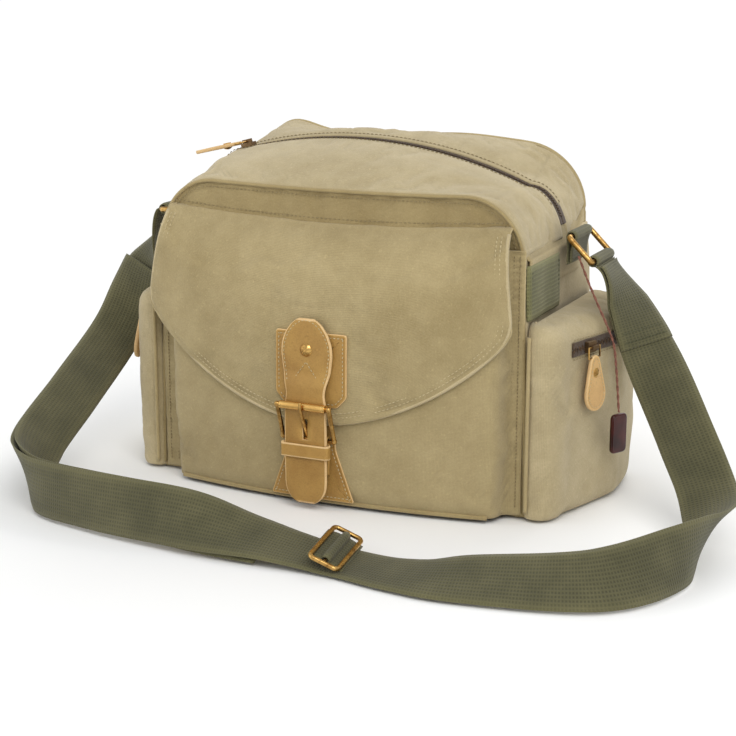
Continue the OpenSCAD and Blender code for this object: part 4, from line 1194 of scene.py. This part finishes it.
def build_keeper():
    """leather band round the tongue of the closure strap"""
    half, front, back, radius = 16.8, -115.2, -110.6, 1.3
    loop = []
    for cx, cy, start in ((half - radius, back - radius, 0),
                          (-half + radius, back - radius, pi/2),
                          (-half + radius, front + radius, pi),
                          (half - radius, front + radius, 3*pi/2)):
        loop += [(cx + radius*math.cos(t), cy + radius*math.sin(t))
                 for t in np.linspace(start, start + pi/2, 6)]
    loop = np.array(loop)
    n = len(loop)
    outward = offset_poly(loop, -1) - loop
    k = np.arange(n)
    # outward distance from the loop and height, round the section of the band
    section = [(0.75, 36.5), (0.8, 37.3), (0.8, 44.7), (0.75, 45.5), (-0.75, 45.5),
               (-0.75, 36.5)]
    verts, uv, faces, face_mats = [], [], [], []
    for r, (distance, z) in enumerate(section):
        x, y = (loop + outward*distance).T
        verts.extend(points(x + CLOSURE_X, y, z + 0.25*np.sin(k*0.7)))
        uv += [(i*0.002, z*MM) for i in range(n)]
        a, b = r*n, (r + 1) % len(section)*n
        for i in range(n):
            j = (i + 1) % n
            faces.append((a + i, a + j, b + j, b + i))
            face_mats.append(0 if r == 1 else 1)
    attach(new_mesh("keeper_soft", verts, faces, HIDE, uv, face_mats),
           "flap", "leather", "keeper_loop")


def build_chape():
    """leather turned round the rear bar of the buckle, as two legs with a gap between"""
    y, z, radius = -108.6, 48.0, 2.7
    section = [(y - 0.1, 24.5), (y - 0.1, 44.6)]
    section += [(y - radius*math.cos(t), z + radius*math.sin(t))
                for t in np.linspace(-pi/2, pi/2 + 0.9, 16)]
    section = np.array(section + [(y + 2.3, 46.5), (y + 2.4, 24.5)])
    x = np.linspace(-14.5, 14.5, 24)[:, None] + CLOSURE_X
    P = points(x, section[:, 0], section[:, 1])
    attach(shell("chape_soft_a", P[:10], 1.1, HIDE, FRONT), "flap", "leather", "chape")
    attach(shell("chape_soft_b", P[14:], 1.1, HIDE, FRONT), "flap", "leather")


# ------------------------------------------------------------------ side pockets
def flank(t, out=0.0):
    """(x, y) at distance t back along the slanted flank of the right pocket"""
    return FLANK_START + FLANK_ALONG*t + FLANK_OUT*out


ROOT_X = 139.3      # the pocket projects from here
# share of the projection, and height, up the pocket from base to top
POCKET_SECTION = np.array([
    (0.02, 1.3), (0.6, 1.1), (0.9, 1.3), (0.965, 3.4), (0.99, 8), (1.0, 18), (1.005, 45),
    (1.0, 80), (0.995, 108), (0.99, 116), (0.955, 121.5), (0.86, 126), (0.68, 129),
    (0.4, 130.6), (0.02, 130.8)])
SIDE_TOOTH_RINGS = ((-1.5, 0.25), (-0.9, 0.5), (0.9, 0.5), (1.5, 0.25))     # height, radius


def side_pocket_plan():
    """(x, y) seen from above, from the front root round to the back root"""
    front_x, front_y = 147, -77
    plan = [(136.6, -70.5), (137.6, -74.0), (140.2, -76.3), (144, front_y),
            (front_x, front_y)]
    reach_x, reach_y = FLANK_START - (front_x, front_y)
    plan += [(front_x + reach_x*math.sin(t*pi/2), front_y + reach_y*(1 - math.cos(t*pi/2)))
             for t in (0.25, 0.5, 0.75)]
    plan += [tuple(flank(t)) for t in np.linspace(0, 60, 16)]
    x, y = flank(60)
    plan += [(x - 16*(1 - math.cos(math.radians(80*t))), y + (63 - y)*math.sin(t*pi/2))
             for t in np.linspace(0.12, 1, 12)]
    plan += [(150, 63), (ROOT_X, 62.4)]
    return smooth(resample(plan, 2.6), 2)


def build_side_pocket(sg, side):
    outward = (sg, 0, 0)
    plan = side_pocket_plan()
    run = arc_len(POCKET_SECTION*(36, 1))
    share, z = smooth(points_at(POCKET_SECTION, np.linspace(0, run[-1], 74), run), 2).T
    plan_x = plan[:, 0][:, None]
    x = ROOT_X + (plan_x - ROOT_X)*np.where(plan_x < ROOT_X, 1.0, share)
    y = plan[:, 1][:, None]*(1 - (1 - share)*0.16)
    P = points(x, y, z)
    wall = smoothstep(4, 25, z)*(1 - smoothstep(118, 128, z))
    ends = np.sin(np.linspace(0, 1, len(plan))*pi)[:, None]
    wrinkle = fbm(y*0.028, z*0.024, sg*2.3, 3, 55)
    fold = np.sin(y*0.075 + z*0.05 + sg)*(1 - smoothstep(30, 75, z))
    flat_at_zip = 1 - 0.85*np.exp(-((z - SIDE_ZIP_Z)/9)**2)
    relief = wall*ends*(1.9*wrinkle + 1.5*fold)*flat_at_zip
    relief = relief - 0.3*ends*np.exp(-((z - 104)/5)**2)
    if sg < 0:      # the left pocket is slacker low down
        relief = relief - ends*6.0*np.clip(1 - z/110, 0, 1)*smoothstep(0, 14, z)
    P = P + outward_normals(P, (1, 0, 0))*np.clip(relief, -9.0, 1.6)[..., None]
    P[..., 0] *= sg
    pocket = shell("side_pocket_soft_" + side, P, 1.8, CANVAS_PAINTED_LIT, outward)
    puff(pocket, cap=1.3, pressure=1.3, frames=12, grow=0.012,
         hold=np.broadcast_to(np.abs(z - SIDE_ZIP_Z) < 8, x.shape))
    attach(pocket, "bag", "canvas", "side_pocket_" + side)

    # roll where the front of the pocket is sewn to the body
    rim = points(sg*139.8, -76.6, np.linspace(6, 124, 40))
    attach(tube("side_pocket_rim_" + side, resample(rim, 3), 1.4, CANVAS, 8),
           "bag", "canvas")

    t = np.linspace(1, 66, 50)[:, None]
    x, y = flank(t, 1.1 + 0.12*np.sin(t*0.3)).T[:, :, None]
    for i, (low, high) in enumerate(((108.4, 112.6), (113.4, 117.6))):
        tape = shell("side_zip_tape_%s_%d" % (side, i),
                     points(sg*x, y, np.linspace(low, high, 5)), 0.9, ZIP_TAPE, outward)
        attach(tape, "bag", "zip_tape", *(["side_zip_" + side] if i == 0 else []))

    mirror = np.array([sg, 1, 1])
    along, out = np.append(FLANK_ALONG, 0)*mirror, np.append(FLANK_OUT, 0)*mirror
    teeth = []
    for i in range(34):
        x, y = flank(2 + i*ZIP_PITCH, 1.35)
        middle = SIDE_ZIP_Z + (0.55 if i % 2 else -0.55)
        teeth.append([(np.array([sg*x, y, middle + dz]), along*radius, out*radius)
                      for dz, radius in SIDE_TOOTH_RINGS])
    attach(beads("side_zip_coil_" + side, teeth, ZIP_COIL, cap_dir=-1), "bag", "zip_tape")
    x, y = flank(np.linspace(0, 67, 40)[:, None], 1.0).T
    attach(stitches("side_zip_stitch_" + side, [points(sg*x, y, z) for z in (106.6, 119.4)],
                    THREAD_DARK, normal=(sg, -0.28, 0)), "bag", "canvas")


# ------------------------------------------------------------------ zip pulls and end tab
def pull_outline(top_r=5.2, low_r=11.2, spacing=21.1, drop=10.4):
    """two circles joined by their outer tangents"""
    s = math.asin((low_r - top_r)/spacing)
    shape = [(top_r*math.cos(t), top_r*math.sin(t) - drop)
             for t in np.linspace(s, pi - s, 15)]
    shape += [(low_r*math.cos(t), low_r*math.sin(t) - spacing - drop)
              for t in np.linspace(pi - s, 2*pi + s, 26)]
    return shape


def build_pulls():
    outline = pull_outline()
    for (sg, side), tilt in zip(SIDES, (-3, -8)):
        name = "side_pull_" + side
        turn = rotation("z", -16) @ rotation("y", tilt) @ rotation("z", 90)
        place = posed(turn, np.append(flank(19, 5.5), SIDE_ZIP_Z), sg)
        attach(plate("pull_leather_" + side, outline, 2.6, place, PALE_HIDE, seed=11,
                     crown=0.1), name, "pale_leather", name)
        attach(stitches("pull_stitch_" + side, [plate_line(outline, 2.4, place, 1.35)],
                        THREAD, pitch=2.4, length=1.6, radius=0.26,
                        normal=-turn[:, 1]*(sg, 1, 1)), name, "pale_leather")
    # the main pull rests on the arch of the zip at x = -107
    on_arch = rotation("y", -math.degrees(math.asin((107 + ARCH_X)/ARCH_R)))
    place = posed(on_arch @ rotation("y", 91) @ rotation("z", 90),
                  np.array([ARCH_X, ZIP_Y, ARCH_TOP - ARCH_R])
                  + on_arch @ np.array([0, 0, ARCH_R + 4.15]))
    attach(plate("pull_leather_main", outline, 2.6, place, PALE_HIDE, seed=14, crown=0.1),
           "main_pull", "pale_leather", "main_pull")
    tab = [(-1, 176), (13, 176), (13, 194), (-1, 194)]      # y, z
    attach(plate("zip_end_tab_soft", tab, 2.2, lambda a, b, h: (-135.4 - h, a, b), HIDE,
                 groove=1.6), "bag", "leather", "zip_end_tab")


# ------------------------------------------------------------------ webbing on the sides
def build_side_webbing(sg, side):
    """band sewn across the side, and the tab that is folded round the ring"""
    outward = (sg, 0, 0)
    lean = math.atan(SIDE_LEAN)
    band_z = 150.5
    y = np.linspace(-68.6, -11.5, 40)
    band = points(sg*(HALF_W - band_z*SIDE_LEAN + 1.5 + 0.25*np.sin(y*0.2)), y, band_z)
    band[0] += [-sg*1.2, -1.6, 0]
    attach(ribbon("web_band_soft_" + side, band, (-sg*math.sin(lean), 0, math.cos(lean)),
                  36, 1.8, WEBBING_BAND, along=(0, 1.0, 0)),
           "bag", "webbing", "web_band_" + side)
    z = np.linspace(136, 165, 12)
    attach(stitches("web_band_stitch_" + side,
                    [points(sg*137.3, -66, z), points(sg*137.6, -14.5, z)],
                    THREAD_OLIVE, normal=outward), "bag", "webbing")
    path = [(143.3, 161.0), (143.3, 166), (143.3, 172), (143.0, 177)]      # x, z
    path += [(RING_X + 3.25*math.cos(t), RING_Z + 3.25*math.sin(t))
             for t in np.linspace(pi + 0.15, -0.35*pi, 22)]
    path += [(146.6, 174.4), (145.6, 170), (145.4, 162)]
    x, z = smooth(resample(path, 1.2), 2).T
    attach(ribbon("ring_tab_soft_" + side, points(sg*x, 3.0, z), BACK, 36, 1.7),
           "strap", "webbing", "ring_tab_" + side)
    attach(stitches("ring_tab_stitch_" + side,
                    [points(sg*146.5, np.linspace(-12, 18, 16), 164.0)],
                    THREAD_OLIVE, normal=outward), "strap", "webbing")


def build_corner_linings():
    """lining behind the seam between each side panel and the rounded top corner"""
    plan_x = np.array([136.6]*6 + list(np.linspace(136.3, 120, 12)))
    y = np.linspace(-67, 66.5, 30)[:, None]
    column = np.arange(18)
    for sg, side in SIDES:
        under_top = top_z(sg*plan_x, y) - 3.6 - 0.5*np.maximum(0.0, y - 58)
        z = np.where(column < 6, 150 + 4*column, np.maximum(172.0, under_top))
        x = sg*plan_x*(1 - 0.048*np.clip((y - 28)/36, 0, 1))
        attach(shell("corner_lining_" + side, points(x, y, z), 1.2, CANVAS, (sg, 0, 0)),
               "bag", "canvas")


# ------------------------------------------------------------------ shoulder strap
def on_ring(sg, distance):
    """(x, z) at a distance out from the ring leg, along the hang of the ring"""
    tilt = RING_TILT[sg]
    return sg*(RING_X + distance*math.cos(tilt)), RING_Z - distance*math.sin(tilt)


LEFT_X, FORE_Y, RIGHT_X = -205, -212, 265       # how far the strap spreads on the floor
LEFT_END, RIGHT_END = on_ring(-1, 26.0), on_ring(1, 26.0)
# x, y, z and lean of the webbing from upright (degrees), from the left ring to the right
STRAP_WAY = np.array([
    [LEFT_END[0], 3, LEFT_END[1], 90],
    [LEFT_X + 8, 4, 131, 44], [LEFT_X - 3, -18, 86, 58],
    [LEFT_X + 4, -90, 53, 55], [LEFT_X + 14, -152, 31, 50],
    [LEFT_X + 40, FORE_Y + 16, 21, 5], [-110, FORE_Y + 2, 20, -8],
    [-45, FORE_Y, 17, -28], [5, FORE_Y + 7, 9, -68],
    [62, FORE_Y + 11, 3.4, -84], [108, FORE_Y + 4, 4.2, -80],
    [150, FORE_Y + 2, 9, -64], [RIGHT_X - 40, FORE_Y + 17, 15.4, -42],
    [RIGHT_X - 5, FORE_Y + 60, 14.4, -14], [RIGHT_X + 2, FORE_Y + 100, 19, 22],
    [RIGHT_X - 8, -63, 28, 72], [RIGHT_X - 32, -36, 60, 50],
    [RIGHT_X - 60, -11, 98, 62], [RIGHT_X - 85, 2, 136, 84],
    [RIGHT_END[0], 3, RIGHT_END[1], 90]], float)
WAY_END = len(STRAP_WAY) - 1
STRAP_W = 38


def strap_point(u):
    """Catmull-Rom curve through the rows of STRAP_WAY"""
    i = math.floor(u)
    t = u - i
    a, b, c, d = (STRAP_WAY[min(max(k, 0), WAY_END)] for k in range(i - 1, i + 3))
    return 0.5*(2*b + (c - a)*t + (2*a - 5*b + 4*c - d)*t*t + (3*b - a - 3*c + d)*t**3)


def strap_run(start, end, count):
    """centres, directions along and directions across the strap"""
    centres, alongs, acrosses = [], [], []
    for u in np.linspace(start, end, count):
        ahead, behind = strap_point(min(u + 0.02, WAY_END)), strap_point(max(u - 0.02, 0))
        along = unit((ahead - behind)[:3])
        level = unit(np.cross(along, [0, 0, 1.0]))
        *centre, lean = strap_point(u)
        lean = math.radians(lean)
        across = np.cross(level, along)*math.cos(lean) + level*math.sin(lean)
        flat = abs(np.cross(along, across)[2])
        # clear of the floor, with room for the second layer beneath up to u = 9
        second_layer = 3.8*flat*min(max((9 - u)/0.8, 0), 1)
        centre[2] = max(centre[2], STRAP_W/2*abs(across[2]) + 1.5 + second_layer)
        centres.append(centre)
        alongs.append(along)
        acrosses.append(across)
    return np.array(centres), np.array(alongs), np.array(acrosses)


def build_strap():
    centre, _, across = strap_run(0, WAY_END, 330)
    centre = smooth(centre, 3)
    along = tangents(centre)
    across = smooth(across, 2)
    across = unit(across - along*(across*along).sum(1)[:, None])
    attach(ribbon("strap_soft", centre, across, STRAP_W, 2.1),
           "strap", "webbing", "shoulder_strap")

    for sg, side in SIDES:      # ends turned round the rings
        x, z = on_ring(sg, 22)
        start = -RING_TILT[sg]
        t = np.linspace(start - 0.12, start + 2*pi - 0.6, 30)
        loop = points(x + sg*3.2*np.cos(t), 3.0, z + 3.2*np.sin(t))
        attach(ribbon("strap_turn_" + side, loop, BACK, 37.6, 2.0), "strap", "webbing")

    # overlap sewn to the strap next to the right ring, on its +x face
    count = 40
    centre, along, across = strap_run(WAY_END - 1.7, WAY_END - 0.08, count)
    outer = np.cross(along, across)
    if outer[count//2][0] <= 0:
        outer = -outer
    step = np.arange(count)
    gap = np.where(step < 3, 1.4 + 0.3*step, 2.2)
    attach(ribbon("strap_overlap_right", centre + outer*gap[:, None], across, STRAP_W, 1.9,
                  along=along), "strap", "webbing")
    over = np.linspace(-16, 16, 14)[:, None]
    rows = [centre[i] + outer[i]*3.3 + across[i]*over for i in (2, 5)]
    attach(stitches("strap_overlap_stitch", rows, THREAD_OLIVE, pitch=2.6, length=1.8,
                    normal=outer[3]), "strap", "webbing")

    # return layer, running under the strap to the adjuster
    centre, along, across = strap_run(1.0, 8.2, 150)
    attach(ribbon("strap_return_soft", centre - 3.8*np.cross(along, across), across, 37.4,
                  2.1, along=along), "strap", "webbing", "strap_return")


def build_adjuster():
    """webbing hump over the centre bar of the strap slider"""
    centre = np.array([61.9, -198.6, 11.2])
    turn = rotation("z", 4.5) @ rotation("x", 5.7) @ rotation("y", 22)
    lead = [(-12.0, 0, -2.0), (-8.0, 0, -1.9), (-5.4, 0, -1.2)]
    radius = 2.65
    path = lead + [(radius*math.cos(t), 0, radius*math.sin(t))
                   for t in np.linspace(1.18*pi, -0.18*pi, 26)]
    path += [(-x, y, z) for x, y, z in lead[::-1]]
    path = smooth(resample(path, 0.8), 4)
    attach(ribbon("adjuster_webbing", path @ turn.T + centre, turn[:, 1], 36.6, 1.3),
           "adjuster", "webbing", "strap_sewn_end")


# ------------------------------------------------------------------ tag and cord
def build_tag():
    path = [(153.6, -22.2, 168.6), (161, -23.0, 152), (168, -22.5, 137), (174.5, -22.0, 124),
            (179.5, -21, 112), (182.2, -21.3, 90), (184.5, -21.8, 66.0)]
    path = smooth(resample(path, 1.0), 40)
    twist = np.arange(len(path))*0.55
    for phase, strand, nodes in ((0, "a", ("tag_cord",)), (pi, "b", ())):
        line = path + points(0.42*np.cos(twist + phase), 0.42*np.sin(twist + phase), 0)
        attach(tube("tag_cord_" + strand, line, 0.5, CORD, 7), "tag_line", "cord", *nodes)
    half_w, half_h, radius = 7, 13.6, 2.5
    outline = [(sx*(half_w - radius) + radius*math.cos(math.radians(start + a)),
                sz*(half_h - radius) + radius*math.sin(math.radians(start + a)))
               for sx, sz, start in ((1, 1, 0), (-1, 1, 90), (-1, -1, 180), (1, -1, 270))
               for a in range(0, 91, 15)]
    place = posed(rotation("z", 62), np.array([184.5, -21.6, 51.6]))
    attach(plate("hang_tag_soft", outline, 3.4, place, (TAG, TAG), bevel=1.1, groove=1.7,
                 groove_depth=0.12, crown=0.25, uneven=0.03), "tag", "tag_gloss", "hang_tag")


# ------------------------------------------------------------------ padding inside
def board(name, outline, place, nodes, thick=4.6, body="bag"):
    attach(plate(name, outline, thick, place, (PADDING, PADDING), bevel=1.6, groove=9.0,
                 groove_depth=0.7, crown=0.35, uneven=0.18, rounding=6),
           body, "padding", *nodes)


def build_padding():
    board("foam_front_soft", [(-125, 10), (125, 10), (121, 165), (-121, 165)],
          lambda a, b, h: (a, -64.8 - h, b), ["foam_front"])
    board("foam_back_soft", [(-125, 10), (125, 10), (119, 175), (-119, 175)],
          lambda a, b, h: (a, 64.6 - b*BACK_LEAN + h, b), ["foam_back"])
    for sg, suffix, nodes in ((1, "r", ["foam_sides"]), (-1, "l", [])):
        board("foam_side_soft_" + suffix, [(-54, 10), (49, 10), (47, 156), (-54, 156)],
              lambda a, b, h: (sg*(133.6 - (b - 9)*SIDE_LEAN + h), a, b), nodes)
    board("foam_base_soft", [(-123, -57), (123, -57), (123, 53), (-123, 53)],
          lambda a, b, h: (a, b, 5.3 + h), ["foam_base"])
    board("divider_soft", [(-53, 10), (45, 10), (45, 148), (-53, 148)],
          lambda a, b, h: (h, a, b), ["divider"], thick=3.8, body="divider")


# ------------------------------------------------------------------ CAD parts kept as they are
def paint(names, mat):
    for name in names:
        # the frame may list nodes by name or not, and one node may hold several objects
        found = NODES[name] if isinstance(NODES, dict) else bpy.data.objects[name]
        for obj in (found if isinstance(found, (list, tuple)) else [found]):
            obj = bpy.data.objects[obj] if isinstance(obj, str) else obj
            if not obj.material_slots:
                obj.data.materials.append(mat)
            for slot in obj.material_slots:
                slot.material = mat


# ------------------------------------------------------------------ floor, light, camera
def build_floor():
    mesh = bpy.data.meshes.new("floor")
    size, z = 9, -0.0008
    mesh.from_pydata([(-size, -size, z), (size, -size, z), (size, size, z), (-size, size, z)],
                     [], [(0, 1, 2, 3)])
    floor = bpy.data.objects.new("floor", mesh)
    scene.collection.objects.link(floor)
    g = Shader("floor")
    clouds = g.patches(g.coords(), scale=2, detail=2, low=0.3, high=0.7)
    g.finish(g.mix(clouds, (0.9, 0.9, 0.895, 1), (0.94, 0.94, 0.935, 1)), rough=0.9, spec=0.1)
    # the pale floor fades to white with distance
    distance = g.node("ShaderNodeVectorMath", operation="LENGTH")
    g.feed(distance.inputs[0], g.coords())
    far = g.remap(distance.outputs["Value"], low=0.45, high=1.05)
    glow = g.node("ShaderNodeEmission")
    glow.inputs[1].default_value = 1.02     # strength
    fade = g.node("ShaderNodeMixShader")
    output = [node for node in g.tree.nodes if node.type == "OUTPUT_MATERIAL"][0]
    g.feed(fade.inputs[0], far)
    g.feed(fade.inputs[1], g.surface.outputs[0])
    g.feed(fade.inputs[2], glow.outputs[0])
    g.feed(output.inputs[0], fade.outputs[0])
    mesh.materials.append(g.mat)


def area_light(name, place, target, size, power, colour=(1, 1, 1)):
    light = bpy.data.lights.new(name, "AREA")
    light.shape = "RECTANGLE"
    light.size = light.size_y = size
    light.energy = power
    light.color = colour
    obj = bpy.data.objects.new(name, light)
    obj.location = place
    aim = Vector(target) - Vector(place)
    obj.rotation_euler = aim.to_track_quat("-Z", "Y").to_euler()
    scene.collection.objects.link(obj)


def build_lights():
    area_light("key", place=(1.2, -1.5, 1.9), target=(0, 0, 0.1), size=1.6, power=30,
               colour=(1, 0.985, 0.96))
    area_light("fill", place=(-1.9, -1.4, 1.1), target=(0, 0, 0.1), size=2.0, power=12)
    area_light("back", place=(0.2, 1.9, 1.7), target=(0, 0, 0.12), size=1.8, power=24)
    world = bpy.data.worlds.new("world") if scene.world is None else scene.world
    scene.world = world
    world.use_nodes = True
    tree = world.node_tree
    background = tree.nodes.get("Background")
    background.inputs[0].default_value = (0.97, 0.985, 1.0, 1)
    # bright behind the object, softer as a light
    light_strength, backdrop_strength = 0.68, 1.1
    path = tree.nodes.new("ShaderNodeLightPath")
    strength = tree.nodes.new("ShaderNodeMapRange")
    strength.inputs[3].default_value = light_strength
    strength.inputs[4].default_value = backdrop_strength
    tree.links.new(path.outputs["Is Camera Ray"], strength.inputs[0])
    tree.links.new(strength.outputs[0], background.inputs[1])
    scene.view_settings.view_transform = "Standard"


def build_camera():
    heading, dip = math.radians(24.9), math.radians(14.2)   # left of +y, below level
    camera = bpy.data.cameras.new("camera")
    obj = bpy.data.objects.new("camera", camera)
    camera.sensor_width = 36
    camera.lens = 81.684783
    obj.location = (0.482408, -1.058328, 0.365927)
    aim = Vector((-math.sin(heading)*math.cos(dip), math.cos(heading)*math.cos(dip),
                  -math.sin(dip)))
    obj.rotation_euler = aim.to_track_quat("-Z", "Y").to_euler()
    scene.collection.objects.link(obj)
    scene.camera = obj


# ------------------------------------------------------------------ build, in this order
build_top()
build_main_zip()
build_front()
build_sides()
build_back()
build_base()
build_front_pocket()
build_flap()
build_closure()
build_keeper()
build_chape()
for sg, side in SIDES:
    build_side_pocket(sg, side)
build_pulls()
for sg, side in SIDES:
    build_side_webbing(sg, side)
build_corner_linings()
build_strap()
build_adjuster()
build_tag()
build_padding()
paint(["ring_left", "ring_right", "strap_slider", "closure_rivet", "buckle_frame",
       "buckle_roller", "buckle_prong", "snap_stud", "snap_socket"], BRASS)
paint(["main_slider", "side_slider_left", "side_slider_right"], DARK_BRASS)
paint(["pull_rivets_main", "pull_rivet_left", "pull_rivet_right"], BRASS)
build_floor()
build_lights()
build_camera()
